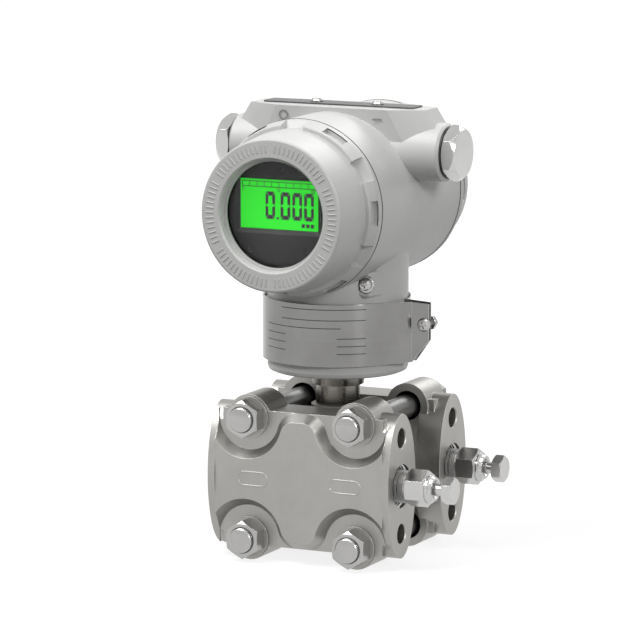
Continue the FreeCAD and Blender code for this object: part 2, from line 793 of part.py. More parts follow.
def add_housing():
    barrel = cylinder(
        "barrel",
        "dims.barrel_r",
        "dims.front_joint_y + dims.rear_joint_y - dims.joint_gap",
        y="-dims.front_joint_y + dims.joint_gap / 2",
        z="dims.barrel_z",
        facing=REAR,
    )
    neck_body, _ = turned(
        "neck",
        [
            ("0", "dims.neck_bottom"),
            ("dims.neck_r - dims.neck_round", "dims.neck_bottom"),
            ("dims.neck_r - dims.neck_round * 0.3", "dims.neck_bottom + dims.neck_round * 0.3"),
            ("dims.neck_r", "dims.neck_bottom + dims.neck_round"),
            ("dims.neck_r", "dims.barrel_z"),
            ("0", "dims.barrel_z"),
        ],
    )
    conduit, _ = turned(
        "conduit_boss",
        [
            ("0", f"-{CONDUIT_X}"),
            ("dims.conduit_r - dims.conduit_rim", f"-{CONDUIT_X}"),
            ("dims.conduit_r", f"-{CONDUIT_X} + dims.conduit_rim"),
            ("dims.conduit_r", f"{CONDUIT_X} - dims.conduit_rim"),
            ("dims.conduit_r - dims.conduit_rim", CONDUIT_X),
            ("0", CONDUIT_X),
        ],
    )
    place(conduit, "0", "dims.pad_y", CONDUIT_Z, RIGHT)
    belt = cylinder(
        "neck_belt",
        "dims.neck_r + dims.belt_proud",
        "dims.band_top - dims.band_bottom - dims.belt_inset * 2",
        "-dims.belt_shift",
        z="dims.band_bottom + dims.belt_inset",
    )
    mass = fuse(
        "housing_mass",
        [
            barrel,
            neck_body,
            belt,
            pad_block(),
            conduit,
            ground_boss(),
        ],
    )
    tools = []
    for side, joint, facing, sign in (
        ("front", "dims.front_joint_y", REAR, "-"),
        ("rear", "dims.rear_joint_y", FRONT, ""),
    ):
        tools.append(
            cylinder(
                f"{side}_thread",
                "dims.cover_thread_r",
                "dims.cover_thread_depth + dims.joint_gap",
                y=f"{sign}{joint}",
                z="dims.barrel_z",
                facing=facing,
            )
        )
    tools.append(
        cylinder(
            "front_chamber",
            "dims.chamber_r",
            "dims.front_joint_y - dims.partition_y",
            y="-dims.front_joint_y",
            z="dims.barrel_z",
            facing=REAR,
        )
    )
    tools.append(
        cylinder(
            "rear_chamber",
            "dims.chamber_r",
            "dims.rear_joint_y + dims.partition_y - dims.partition_thick",
            y="dims.rear_joint_y",
            z="dims.barrel_z",
            facing=FRONT,
        )
    )
    for label, radius, start in (
        ("conduit_thread", "dims.conduit_bore_r", "dims.conduit_thread_x"),
        ("conduit_way", "dims.conduit_way_r", "dims.conduit_inner_x"),
    ):
        bore = cylinder(label, radius, CONDUIT_X, start, "dims.pad_y", CONDUIT_Z, RIGHT)
        tools.append(both_sides(label + "_pair", bore, RIGHT))
    tools.append(cylinder("stem_bore", "dims.stem_thread_r + dims.running", "dims.stem_top + 1"))
    tools.append(
        cylinder(
            "wire_way",
            "dims.wire_way_r",
            "dims.barrel_z - dims.chamber_r + dims.wire_way_rise - dims.stem_top",
            y="-dims.partition_y",
            z="dims.stem_top",
        )
    )
    tools.append(
        both_sides(
            "button_bores",
            cylinder(
                "button_bore",
                "dims.button_r + dims.running",
                "dims.button_bore_depth",
                "dims.button_x",
                "dims.pad_y",
                f"{PAD_TOP} - dims.button_bore_depth",
            ),
            RIGHT,
        )
    )
    screw_holes = both_sides(
        "plate_screw_holes",
        cylinder(
            "plate_screw_hole",
            "dims.plate_screw_r + dims.snug",
            "dims.plate_screw_depth",
            "dims.plate_screw_x",
            "dims.pad_y",
            f"{PAD_TOP} - dims.plate_screw_depth",
        ),
        RIGHT,
    )
    tools.append(place(screw_holes, "dims.plate_screw_shift"))
    tools.append(
        cylinder(
            "ground_pocket",
            "dims.ground_pocket_r",
            "dims.ground_pocket_depth",
            GROUND_X,
            GROUND_Y,
            GROUND_Z,
            REAR,
        )
    )
    tools.append(
        cylinder(
            "ground_tap",
            "dims.ground_screw_r + dims.snug",
            "dims.ground_pocket_depth + dims.ground_tap_depth",
            GROUND_X,
            GROUND_Y,
            GROUND_Z,
            REAR,
        )
    )
    tools.append(
        cylinder(
            "set_screw_tap",
            "dims.set_screw_r + dims.snug",
            "dims.neck_r",
            y="dims.stem_thread_r",
            z="dims.neck_bottom + dims.set_screw_rise",
            facing=REAR,
        )
    )
    housing = cut("housing_cut", mass, tools)
    node(housing, "housing")
    set_screw = cylinder(
        "neck_set_screw",
        "dims.set_screw_r",
        "dims.neck_r - dims.stem_thread_r - dims.moving_gap - 1",
    )
    tip_y = "dims.stem_thread_r + dims.moving_gap"
    tip_z = "dims.neck_bottom + dims.set_screw_rise"
    node(set_screw, "neck_set_screw", y=tip_y, z=tip_z, facing=REAR)


# Covers: turned cups with a threaded spigot, a rim with six lugs and a slot in each lug.
def lug_cuts(body, section, side):
    """Cuts the six recesses between the lugs and the six slots in them."""
    recess = outline(
        body,
        f"{side}_recess_section",
        "XZ_Plane",
        [
            ("dims.lug_foot_r", "dims.recess_foot"),
            ("dims.lug_foot_r", "dims.lug_length"),
            ("dims.barrel_r + 1", "dims.lug_length"),
            ("dims.barrel_r + 1", "dims.rim_width - 0.6"),
            ("dims.barrel_r", "dims.rim_width - 0.6"),
        ],
    )
    recess.AttachmentOffset = FreeCAD.Placement(Vector(), Rotation(Vector(0, 1, 0), 30))
    recess_groove = body.newObject("PartDesign::Groove", f"{side}_recess")
    recess_groove.Profile = recess
    recess_groove.ReferenceAxis = (recess, ["V_Axis"])
    recess_groove.Midplane = True
    recess_groove.setExpression("Angle", "dims.recess_angle")
    slot = outline(
        body,
        f"{side}_slot_section",
        "XZ_Plane",
        [
            ("dims.slot_floor_r", "dims.slot_start"),
            ("dims.barrel_r + 1", "dims.slot_start"),
            ("dims.barrel_r + 1", "dims.slot_end"),
            ("dims.slot_floor_r", "dims.slot_end"),
        ],
    )
    slot_groove = body.newObject("PartDesign::Groove", f"{side}_slot")
    slot_groove.Profile = slot
    slot_groove.ReferenceAxis = (slot, ["V_Axis"])
    slot_groove.Midplane = True
    slot_groove.setExpression("Angle", "dims.slot_angle")
    doc.recompute()
    pattern = body.newObject("PartDesign::PolarPattern", f"{side}_lugs")
    pattern.Originals = [recess_groove, slot_groove]
    pattern.Axis = (section, ["V_Axis"])
    pattern.Angle = 360
    pattern.setExpression("Occurrences", "dims.lug_count")
    body.Tip = pattern
    doc.recompute()
    return pattern


def round_face_edge(body, tip, side, radius, height):
    """Rounds the outer edge of a cover's face."""
    want = dims.get(radius), dims.get(height)
    edges = [
        f"Edge{index}"
        for index, edge in enumerate(tip.Shape.Edges, start=1)
        if isinstance(edge.Curve, Part.Circle)
        and abs(edge.Curve.Radius - want[0]) < 1e-6
        and abs(edge.Curve.Center.z - want[1]) < 1e-6
    ]
    rounding = body.newObject("PartDesign::Fillet", f"{side}_face_round")
    rounding.Base = (tip, edges)
    rounding.setExpression("Radius", "dims.cover_edge_round")
    body.Tip = rounding
    doc.recompute()


def add_covers():
    glass_front = "dims.cover_length - dims.window_depth"
    glass_back = f"{glass_front} - dims.glass_thick"
    spigot_r = "dims.cover_thread_r - dims.running"
    front, section = turned(
        "front_cover",
        [
            (spigot_r, "-dims.cover_thread_depth + 0.5"),
            (spigot_r, "0"),
            ("dims.barrel_r", "0"),
            ("dims.barrel_r", "dims.rim_width"),
            ("dims.lug_foot_r", "dims.lug_length"),
            ("dims.cover_face_r", "dims.cover_length"),
            ("dims.window_outer_r", "dims.cover_length"),
            ("dims.window_step_r", "dims.cover_length - dims.window_bevel"),
            ("dims.window_step_r", "dims.cover_length - dims.window_step_depth"),
            ("dims.window_r", "dims.cover_length - dims.window_step_depth"),
            ("dims.window_r", glass_front),
            ("dims.glass_r", glass_front),
            ("dims.glass_r", f"{glass_back} - dims.retainer_thick"),
            ("dims.cover_cavity_r", f"{glass_back} - dims.retainer_thick - 1"),
            ("dims.cover_cavity_r", "-dims.cover_thread_depth + 0.5"),
        ],
    )
    tip = lug_cuts(front, section, "front_cover")
    round_face_edge(front, tip, "front_cover", "cover_face_r", "cover_length")
    joint = "-dims.front_joint_y - dims.joint_gap / 2"
    node(front, "front_cover", y=joint, z="dims.barrel_z", facing=FRONT)
    glass = cylinder("window_glass", "dims.glass_r - dims.snug", "dims.glass_thick")
    node(glass, "window_glass", y=f"{joint} - ({glass_back})", z="dims.barrel_z", facing=FRONT)
    ring = cut(
        "window_retainer_ring",
        cylinder("retainer_disc", "dims.glass_r - dims.snug", "dims.retainer_thick"),
        [cylinder("retainer_bore", "dims.retainer_bore_r", "dims.retainer_thick")],
    )
    behind = f"{joint} - ({glass_back} - dims.retainer_thick)"
    node(ring, "window_retainer", y=behind, z="dims.barrel_z", facing=FRONT)
    rear, section = turned(
        "rear_cover",
        [
            (spigot_r, "-dims.cover_thread_depth + 0.5"),
            (spigot_r, "0"),
            ("dims.barrel_r", "0"),
            ("dims.barrel_r", "dims.rim_width"),
            ("dims.lug_foot_r", "dims.lug_length"),
            ("dims.cover_face_r", "dims.rear_cover_length"),
            ("0", "dims.rear_cover_length"),
            ("0", "dims.rear_cover_length - dims.cover_wall"),
            ("dims.cover_cavity_r", "dims.rear_cover_length - dims.cover_wall"),
            ("dims.cover_cavity_r", "-dims.cover_thread_depth + 0.5"),
        ],
    )
    tip = lug_cuts(rear, section, "rear_cover")
    round_face_edge(rear, tip, "rear_cover", "cover_face_r", "rear_cover_length")
    rear_joint = "dims.rear_joint_y + dims.joint_gap / 2"
    node(rear, "rear_cover", y=rear_joint, z="dims.barrel_z", facing=REAR)
    for side, y, facing in (
        ("front", "-dims.front_joint_y + dims.joint_gap / 2", FRONT),
        ("rear", "dims.rear_joint_y - dims.joint_gap / 2", REAR),
    ):
        seal = cut(
            f"{side}_seal_ring",
            cylinder(f"{side}_seal_disc", "dims.seal_outer_r", "dims.joint_gap"),
            [cylinder(f"{side}_seal_hole", "dims.seal_inner_r", "dims.joint_gap")],
        )
        node(seal, f"{side}_seal", y=y, z="dims.barrel_z", facing=facing)


# Display: a round bezel with a rectangular window for the LCD, on a board over the
# electronics can that stands on the partition.
def add_display():
    joint = "-dims.front_joint_y - dims.joint_gap / 2"
    face = f"{joint} - (dims.cover_length - dims.window_depth - dims.glass_thick - dims.bezel_gap)"
    lcd_low = ("-dims.lcd_width / 2", "-dims.lcd_height / 2 + dims.lcd_rise")
    lcd_high = ("dims.lcd_width / 2", "dims.lcd_height / 2 + dims.lcd_rise")
    window = box(
        "lcd_window",
        (lcd_low[0], lcd_low[1], "0"),
        (lcd_high[0], lcd_high[1], "dims.bezel_thick"),
    )
    bezel = cut("bezel", cylinder("bezel_disc", "dims.bezel_r", "dims.bezel_thick"), [window])
    node(bezel, "display_bezel", y=f"{face} + dims.bezel_thick", z="dims.barrel_z", facing=FRONT)
    panel = box(
        "lcd_glass",
        (f"{lcd_low[0]} + dims.snug", f"{lcd_low[1]} + dims.snug", "0"),
        (f"{lcd_high[0]} - dims.snug", f"{lcd_high[1]} - dims.snug", "dims.bezel_thick - dims.lcd_recess"),
    )
    lcd = group("lcd", [panel])
    node(lcd, "lcd_panel", y=f"{face} + dims.bezel_thick", z="dims.barrel_z", facing=FRONT)
    board = cylinder("display_board", "dims.bezel_r", "dims.board_thick")
    board_y = f"{face} + dims.bezel_thick + dims.board_thick"
    node(board, "display_board", y=board_y, z="dims.barrel_z", facing=FRONT)
    can = cylinder("electronics_can", "dims.can_r", f"-dims.partition_y - ({board_y})")
    node(can, "electronics_can", y="-dims.partition_y", z="dims.barrel_z", facing=FRONT)


# Terminals: a moulded block on the rear of the partition, with screws in two recesses.
def add_terminals():
    base = "-dims.partition_y + dims.partition_thick"
    recess = "(dims.terminal_screw_r + 1.5)"
    block = cut(
        "terminal_body",
        cylinder("terminal_disc", "dims.terminal_r", "dims.terminal_thick"),
        [
            box(
                f"terminal_recess_{index}",
                (f"{x} - {recess}", "-dims.terminal_r * 0.5", "dims.terminal_thick * 0.6"),
                (f"{x} + {recess}", "dims.terminal_r * 0.5", "dims.terminal_thick"),
            )
            for index, x in enumerate(("-dims.terminal_screw_x", "0", "dims.terminal_screw_x"), start=1)
        ],
    )
    node(block, "terminal_block", y=base, z="dims.barrel_z", facing=REAR)
    screws = [
        cylinder(
            f"terminal_screw_{index}",
            "dims.terminal_screw_r",
            "dims.terminal_screw_height",
            x,
            "0",
            "dims.terminal_thick * 0.6",
        )
        for index, x in enumerate(("-dims.terminal_screw_x", "0", "dims.terminal_screw_x"), start=1)
    ]
    node(group("screws", screws), "terminal_screws", y=base, z="dims.barrel_z", facing=REAR)


# Conduit plugs: hex heads on threaded shanks, with a flat seal on the boss rim.
def add_conduit_plugs():
    for side, sign, facing in (("left", "-", LEFT), ("right", "", RIGHT)):
        head = hexagon(
            f"{side}_plug_hex",
            "dims.plug_flats",
            "dims.plug_seal_thick",
            "dims.plug_seal_thick + dims.plug_hex_thick",
            CHAMFER,
            "dims.plug_chamfer_angle",
        )
        shank = cylinder(
            f"{side}_plug_shank",
            "dims.conduit_bore_r - dims.snug",
            "dims.plug_shank + dims.plug_seal_thick + 1",
            z="-dims.plug_shank",
        )
        plug = fuse(f"{side}_plug", [head, shank])
        node(plug, f"{side}_conduit_plug", f"{sign}{CONDUIT_X}", "dims.pad_y", CONDUIT_Z, facing, 0)
        seal = cut(
            f"{side}_plug_seal_ring",
            cylinder(f"{side}_plug_seal_disc", "dims.plug_seal_r", "dims.plug_seal_thick"),
            [cylinder(f"{side}_plug_seal_hole", "dims.conduit_bore_r", "dims.plug_seal_thick")],
        )
        node(seal, f"{side}_plug_seal", f"{sign}{CONDUIT_X}", "dims.pad_y", CONDUIT_Z, facing)


# Top plate with two cross-recessed screws, and the two buttons in bores below it.
def cross_screw(name, shank_r, shank, head_r, head):
    """A pan-head screw with a cross recess, its head standing on z = 0."""
    blank, _ = turned(
        name + "_blank",
        [
            ("0", f"-({shank})"),
            (shank_r, f"-({shank})"),
            (shank_r, "0"),
            (head_r, "0"),
            (head_r, f"({head}) * 0.35"),
            (f"({head_r}) * 0.78", f"({head}) * 0.85"),
            (f"({head_r}) * 0.4", head),
            ("0", head),
        ],
    )
    arm = f"({head_r}) * 0.55"
    half = f"({head_r}) * 0.13"
    low, high = f"({head}) * 0.4", f"({head}) + 1"
    bars = [
        box(name + "_cross_a", (f"-{arm}", f"-{half}", low), (arm, half, high)),
        box(name + "_cross_b", (f"-{half}", f"-{arm}", low), (half, arm, high)),
    ]
    return cut(name, blank, bars)


def add_top_plate():
    body = doc.addObject("PartDesign::Body", "top_plate_body")
    x, y, c = "dims.top_plate_half_x", "dims.top_plate_half_y", "dims.top_plate_corner"
    corners = [
        (f"{x} - {c}", f"-{y}"),
        (x, f"-{y} + {c}"),
        (x, f"{y} - {c}"),
        (f"{x} - {c}", y),
        (f"-{x} + {c}", y),
        (f"-{x}", f"{y} - {c}"),
        (f"-{x}", f"-{y} + {c}"),
        (f"-{x} + {c}", f"-{y}"),
    ]
    sheet = body.newObject("PartDesign::Pad", "top_plate_pad")
    sheet.Profile = outline(body, "top_plate_outline", "XY_Plane", corners)
    sheet.setExpression("Length", "dims.top_plate_thick")
    holes = both_sides(
        "top_plate_holes",
        cylinder(
            "top_plate_hole",
            "dims.plate_screw_r + dims.snug",
            "dims.top_plate_thick",
            "dims.plate_screw_x",
        ),
        RIGHT,
    )
    place(holes, "dims.plate_screw_shift + dims.top_plate_shift")
    plate = cut("top_plate_cut", body, [holes])
    node(plate, "top_plate", "-dims.top_plate_shift", "dims.pad_y", PAD_TOP)
    screw = cross_screw(
        "plate_screw",
        "dims.plate_screw_r",
        "dims.plate_screw_depth - 1",
        "dims.plate_screw_head_r",
        "dims.plate_screw_head",
    )
    place(screw, "dims.plate_screw_x")
    node(
        both_sides("plate_screw_pair", screw, RIGHT),
        "top_plate_screws",
        "dims.plate_screw_shift",
        "dims.pad_y",
        f"{PAD_TOP} + dims.top_plate_thick",
    )
    for label, sign in (("zero", ""), ("span", "-")):
        button = cylinder(f"{label}_button", "dims.button_r", "dims.button_length")
        foot = f"{PAD_TOP} - dims.button_below_pad - dims.button_length"
        node(button, f"{label}_button", f"{sign}dims.button_x", "dims.pad_y", foot)
        room = "(dims.button_bore_depth - dims.button_below_pad - dims.button_length)"
        pad = cut(
            f"{label}_pad_ring",
            cylinder(f"{label}_pad_disc", "dims.return_pad_r", f"{room}"),
            [cylinder(f"{label}_pad_hole", "dims.return_pad_bore_r", f"{room}")],
        )
        pad_foot = f"{PAD_TOP} - dims.button_bore_depth"
        node(pad, f"{label}_return_pad", f"{sign}dims.button_x", "dims.pad_y", pad_foot)


# Tag band: a strip bent round the neck. Its front end leaves the round along a tangent,
# its rear end turns out where it meets the front one, and a screw clamps the two ears.
BAND_R = "(dims.neck_r + dims.belt_proud + dims.snug + dims.band_thick)"
BAND_HEIGHT = "dims.band_top - dims.band_bottom"
EAR_X = f"({BAND_R} + dims.band_ear_reach)"
EAR_END = f"({EAR_X} + dims.band_ear_length)"


def band_volume(name, inset):
    """The space inside one face of the strip: a drum and the tangent stretch in front."""
    r = f"({BAND_R} - {inset})"
    ear = f"(dims.band_ear_y - {inset})"
    across = f"{r} * cos(dims.band_leave_angle * 1 deg)"
    along = f"{r} * sin(dims.band_leave_angle * 1 deg)"
    body = doc.addObject("PartDesign::Body", name)
    pad = body.newObject("PartDesign::Pad", name + "_pad")
    pad.Profile = outline(
        body,
        name + "_outline",
        "XY_Plane",
        [
            ("0", "0"),
            ("0", f"-{along}"),
            (across, f"-{along}"),
            (EAR_X, f"-{ear}"),
            (EAR_X, "0"),
        ],
    )
    pad.setExpression("Length", BAND_HEIGHT)
    drum = cylinder(name + "_drum", r, BAND_HEIGHT)
    return fuse(name + "_volume", [body, drum])


def band_ear(side, root, end, y):
    """A flat ear with its lower corner cut off."""
    body = doc.addObject("PartDesign::Body", f"band_{side}_ear")
    pad = body.newObject("PartDesign::Pad", f"band_{side}_ear_pad")
    pad.Profile = outline(
        body,
        f"band_{side}_ear_outline",
        "XZ_Plane",
        [
            (root, "0"),
            (EAR_X, "0"),
            (end, "dims.band_ear_slant"),
            (end, BAND_HEIGHT),
            (root, BAND_HEIGHT),
        ],
    )
    pad.setExpression("Length", "dims.band_thick")
    return place(body, y=y)


def band_trim():
    """What is cut off above the ears, where the upper edge falls away from the round."""
    body = doc.addObject("PartDesign::Body", "band_trim")
    pad = body.newObject("PartDesign::Pad", "band_trim_pad")
    start = f"{BAND_R} * cos(dims.band_leave_angle * 1 deg)"
    end = f"{EAR_END} + 1"
    high = f"{BAND_HEIGHT} + 1"
    corners = [
        (start, BAND_HEIGHT),
        (end, f"{BAND_HEIGHT} - dims.band_ear_drop"),
        (end, high),
        (start, high),
    ]
    pad.Profile = outline(body, "band_trim_outline", "XZ_Plane", corners)
    pad.setExpression("Length", f"{BAND_R} * 2")
    return place(body, y=BAND_R)


def add_band():
    front_y = "-dims.band_ear_y + dims.band_thick"
    rear_end = f"{EAR_END} - dims.band_rear_ear_trim"
    ears = [
        band_ear("front", f"{EAR_X} - dims.band_thick", EAR_END, front_y),
        band_ear("rear", f"{BAND_R} - dims.band_thick", rear_end, "dims.band_ear_y"),
    ]
    hollow = band_volume("band_hollow", "dims.band_thick")
    slot = box(
        "band_mouth",
        (f"{BAND_R} - dims.band_thick * 2", front_y, "0"),
        (EAR_END, "dims.band_ear_y - dims.band_thick", BAND_HEIGHT),
    )
    strip = cut("band_strip", band_volume("band_full", "0"), [hollow, slot])
    hole_x = f"{EAR_END} - dims.band_screw_from_end"
    hole = cylinder(
        "band_screw_hole",
        "dims.band_screw_r + dims.snug",
        "dims.band_ear_y * 4",
        hole_x,
        "-dims.band_ear_y * 2",
        "dims.band_screw_rise",
        REAR,
    )
    band = cut("band_whole", fuse("band_bare", [strip] + ears), [hole, band_trim()])
    node(band, "tag_band", "-dims.belt_shift", z="dims.band_bottom")
    screw = cross_screw(
        "band_screw",
        "dims.band_screw_r",
        "dims.band_ear_y * 2 + 3",
        "dims.band_screw_head_r",
        "dims.band_screw_head",
    )
    screw_x = f"{hole_x} - dims.belt_shift"
    screw_z = "dims.band_bottom + dims.band_screw_rise"
    node(screw, "band_screw", screw_x, "-dims.band_ear_y", screw_z, FRONT, dims.cross_roll)
    nut = cut(
        "band_nut_hex",
        prism_between("band_nut_bar", "dims.band_screw_r * 3.4", "0", "dims.band_screw_r * 1.5"),
        [cylinder("band_nut_bore", "dims.band_screw_r + dims.snug", "dims.band_screw_r * 2")],
    )
    node(nut, "band_nut", screw_x, "dims.band_ear_y", screw_z, REAR, 0)


# Ground screw: a pan head on a washer, in the round pocket on the neck.
def add_ground_screw():
    washer = cut(
        "ground_washer_ring",
        cylinder("ground_washer_disc", "dims.ground_washer_r", "dims.ground_washer_thick"),
        [cylinder("ground_washer_hole", "dims.ground_screw_r + dims.snug", "dims.ground_washer_thick")],
    )
    floor = f"{GROUND_Y} + dims.ground_pocket_depth"
    node(washer, "ground_washer", GROUND_X, floor, GROUND_Z, FRONT)
    screw = cross_screw(
        "ground_screw_part",
        "dims.ground_screw_r",
        "dims.ground_washer_thick + dims.ground_tap_depth - 1",
        "dims.ground_head_r",
        "dims.ground_head",
    )
    seat = f"{floor} - dims.ground_washer_thick"
    node(screw, "ground_screw", GROUND_X, seat, GROUND_Z, FRONT, dims.cross_roll)


add_flanges()
add_sensor()
add_flange_bolts()
add_vent_valves()
add_housing()
add_covers()
add_display()
add_terminals()
add_conduit_plugs()
add_top_plate()
add_band()
add_ground_screw()
doc.recompute()

for thing in doc.Objects:
    if "Invalid" in thing.State or "Error" in thing.State:
        raise RuntimeError(f"{thing.Label} did not recompute: {thing.State}")
for part in nodes:
    if part.Shape.isNull() or not part.Shape.isValid():
        raise RuntimeError(f"{part.Label} has no valid shape")

os.makedirs("parts", exist_ok=True)
for part in nodes:
    part.Shape.exportStep(f"parts/{part.Label}.step")
    print(f"{part.Label}: {len(part.Shape.Solids)} solid(s), {part.Shape.Volume:.0f} mm3")
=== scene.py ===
import bmesh
import bpy
import math
from mathutils import Matrix, Vector


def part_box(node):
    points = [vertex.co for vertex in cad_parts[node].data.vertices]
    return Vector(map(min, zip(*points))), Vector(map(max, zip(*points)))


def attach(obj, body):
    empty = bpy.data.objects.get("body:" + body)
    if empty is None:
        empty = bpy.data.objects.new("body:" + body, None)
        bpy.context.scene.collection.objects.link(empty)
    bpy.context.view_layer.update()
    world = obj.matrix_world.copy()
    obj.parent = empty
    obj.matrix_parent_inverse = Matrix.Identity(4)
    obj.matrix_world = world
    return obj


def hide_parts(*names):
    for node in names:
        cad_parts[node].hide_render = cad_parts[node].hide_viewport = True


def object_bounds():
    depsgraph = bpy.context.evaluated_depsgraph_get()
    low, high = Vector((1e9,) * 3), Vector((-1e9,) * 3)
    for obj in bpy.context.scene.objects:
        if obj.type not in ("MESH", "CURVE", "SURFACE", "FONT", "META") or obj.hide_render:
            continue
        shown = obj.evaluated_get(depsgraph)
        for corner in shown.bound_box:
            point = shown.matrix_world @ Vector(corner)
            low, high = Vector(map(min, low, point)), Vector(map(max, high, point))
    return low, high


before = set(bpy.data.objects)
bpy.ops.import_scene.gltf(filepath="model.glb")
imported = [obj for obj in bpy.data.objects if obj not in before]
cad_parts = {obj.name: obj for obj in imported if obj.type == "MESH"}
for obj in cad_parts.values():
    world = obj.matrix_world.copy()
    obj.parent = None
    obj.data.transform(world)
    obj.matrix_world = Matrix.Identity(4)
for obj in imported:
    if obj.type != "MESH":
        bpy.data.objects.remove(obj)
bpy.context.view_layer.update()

MM = 0.001

# Process flanges: two stainless castings with machined faces, so the skin is satin, with
# fine upright tool lines, and a painted highlight along the edges. Grain, slow clouding and
# an edge mask for painted edge light are one node group, because every metal and moulded finish here has
# them.
skin = bpy.data.node_groups.new("worked_skin", "ShaderNodeTree")
for label, kind, start in (
    ("Grain Size", "Float", 1600),
    ("Grain Stretch", "Vector", (1, 1, 1)),
    ("Grain Depth", "Float", 0.00002),
    ("Edge Width", "Float", 0.0005),
    ("Cloud Size", "Float", 45),
):
    socket = skin.interface.new_socket(label, in_out="INPUT", socket_type=f"NodeSocket{kind}")
    socket.default_value = start
for label, kind in (("Normal", "Vector"), ("Edge", "Float"), ("Cloud", "Float"), ("Grain", "Float")):
    skin.interface.new_socket(label, in_out="OUTPUT", socket_type=f"NodeSocket{kind}")
given = skin.nodes.new("NodeGroupInput")
coordinates = skin.nodes.new("ShaderNodeTexCoord")
stretched = skin.nodes.new("ShaderNodeVectorMath")
stretched.operation = "MULTIPLY"
skin.links.new(coordinates.outputs["Object"], stretched.inputs[0])
skin.links.new(given.outputs["Grain Stretch"], stretched.inputs[1])
grain = skin.nodes.new("ShaderNodeTexNoise")
grain.inputs["Detail"].default_value = 2
skin.links.new(stretched.outputs["Vector"], grain.inputs["Vector"])
skin.links.new(given.outputs["Grain Size"], grain.inputs["Scale"])
cloud = skin.nodes.new("ShaderNodeTexNoise")
cloud.inputs["Detail"].default_value = 5
cloud.inputs["Roughness"].default_value = 0.6
skin.links.new(coordinates.outputs["Object"], cloud.inputs["Vector"])
skin.links.new(given.outputs["Cloud Size"], cloud.inputs["Scale"])
rounded = skin.nodes.new("ShaderNodeBevel")
rounded.samples = 6
skin.links.new(given.outputs["Edge Width"], rounded.inputs["Radius"])
relief = skin.nodes.new("ShaderNodeBump")
relief.inputs["Strength"].default_value = 1
skin.links.new(given.outputs["Grain Depth"], relief.inputs["Distance"])
skin.links.new(grain.outputs["Fac"], relief.inputs["Height"])
skin.links.new(rounded.outputs["Normal"], relief.inputs["Normal"])
# Edge mask: where the rounded normal parts from the flat one, so that finishes can paint light on edges.
flat = skin.nodes.new("ShaderNodeNewGeometry")
agreement = skin.nodes.new("ShaderNodeVectorMath")
agreement.operation = "DOT_PRODUCT"
skin.links.new(rounded.outputs["Normal"], agreement.inputs[0])
skin.links.new(flat.outputs["Normal"], agreement.inputs[1])
edge_range = skin.nodes.new("ShaderNodeMapRange")
for label, value in (("From Min", 0.995), ("From Max", 0.8), ("To Min", 0), ("To Max", 1)):
    edge_range.inputs[label].default_value = value
skin.links.new(agreement.outputs["Value"], edge_range.inputs["Value"])
result = skin.nodes.new("NodeGroupOutput")
skin.links.new(relief.outputs["Normal"], result.inputs["Normal"])
skin.links.new(edge_range.outputs["Result"], result.inputs["Edge"])
skin.links.new(cloud.outputs["Fac"], result.inputs["Cloud"])
skin.links.new(grain.outputs["Fac"], result.inputs["Grain"])


def finish(
    name,
    dark,
    light,
    edge,
    roughness,
    metallic=0.0,
    grain=(1600, 0.00002),
    stretch=(1, 1, 1),
    painted_edge_width=0.0005,
):
    """A finish whose colour wanders between two tones and turns to a third along its edges,
    a painted edge highlight where the third tone is paler and painted edge shade where it is darker,
    and whose roughness goes with the grain from the first value to the second."""
    made = bpy.data.materials.new(name)
    made.use_nodes = True
    nodes, links = made.node_tree.nodes, made.node_tree.links
    shader = nodes["Principled BSDF"]
    surface = nodes.new("ShaderNodeGroup")
    surface.node_tree = skin
    surface.inputs["Grain Size"].default_value = grain[0]
    surface.inputs["Grain Depth"].default_value = grain[1]
    surface.inputs["Grain Stretch"].default_value = stretch
    surface.inputs["Edge Width"].default_value = painted_edge_width
    tone = nodes.new("ShaderNodeValToRGB")
    tone.color_ramp.elements[0].position = 0.35
    tone.color_ramp.elements[0].color = (*dark, 1)
    tone.color_ramp.elements[1].position = 0.65
    tone.color_ramp.elements[1].color = (*light, 1)
    links.new(surface.outputs["Cloud"], tone.inputs["Fac"])
    # The edge tone mixed in along the edge mask: a painted edge highlight, or painted edge shade where the
    # tone is darker.
    painted_edge_light = nodes.new("ShaderNodeMix")
    painted_edge_light.name = "painted_edge_light"
    painted_edge_light.data_type = "RGBA"
    painted_edge_light.inputs["B"].default_value = (*edge, 1)
    links.new(surface.outputs["Edge"], painted_edge_light.inputs["Factor"])
    links.new(tone.outputs["Color"], painted_edge_light.inputs["A"])
    links.new(painted_edge_light.outputs["Result"], shader.inputs["Base Color"])
    gloss = nodes.new("ShaderNodeMapRange")
    gloss.inputs["From Min"].default_value = 0.3
    gloss.inputs["From Max"].default_value = 0.7
    gloss.inputs["To Min"].default_value = roughness[0]
    gloss.inputs["To Max"].default_value = roughness[1]
    links.new(surface.outputs["Grain"], gloss.inputs["Value"])
    links.new(gloss.outputs["Result"], shader.inputs["Roughness"])
    links.new(surface.outputs["Normal"], shader.inputs["Normal"])
    shader.inputs["Metallic"].default_value = metallic
    return made


def dress(material, *names):
    """Gives CAD nodes their finish."""
    for name in names:
        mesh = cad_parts[name].data
        mesh.materials.clear()
        mesh.materials.append(material)


UPRIGHT_LINES = (1, 1, 0.03)
satin_steel = finish(
    "satin_steel",
    (0.325, 0.318, 0.302),
    (0.355, 0.348, 0.332),
    (0.50, 0.49, 0.47),
    (0.34, 0.46),
    metallic=1.0,
    grain=(1500, 0.000005),
    stretch=UPRIGHT_LINES,
    painted_edge_width=0.0003,
)
dress(satin_steel, "front_flange", "rear_flange", "sensor_capsule")

# Foundry rims: a low oval rim on each side of the raised face of a flange, cast with it
# and left as cast.
rim_wide, rim_proud, rim_sunk, rim_z = 0.9 * MM, 0.2 * MM, 0.15 * MM, 0.2 * MM
ear_proud = 0.7 * MM
neck_x = (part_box("sensor_stem")[0].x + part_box("sensor_stem")[1].x) / 2


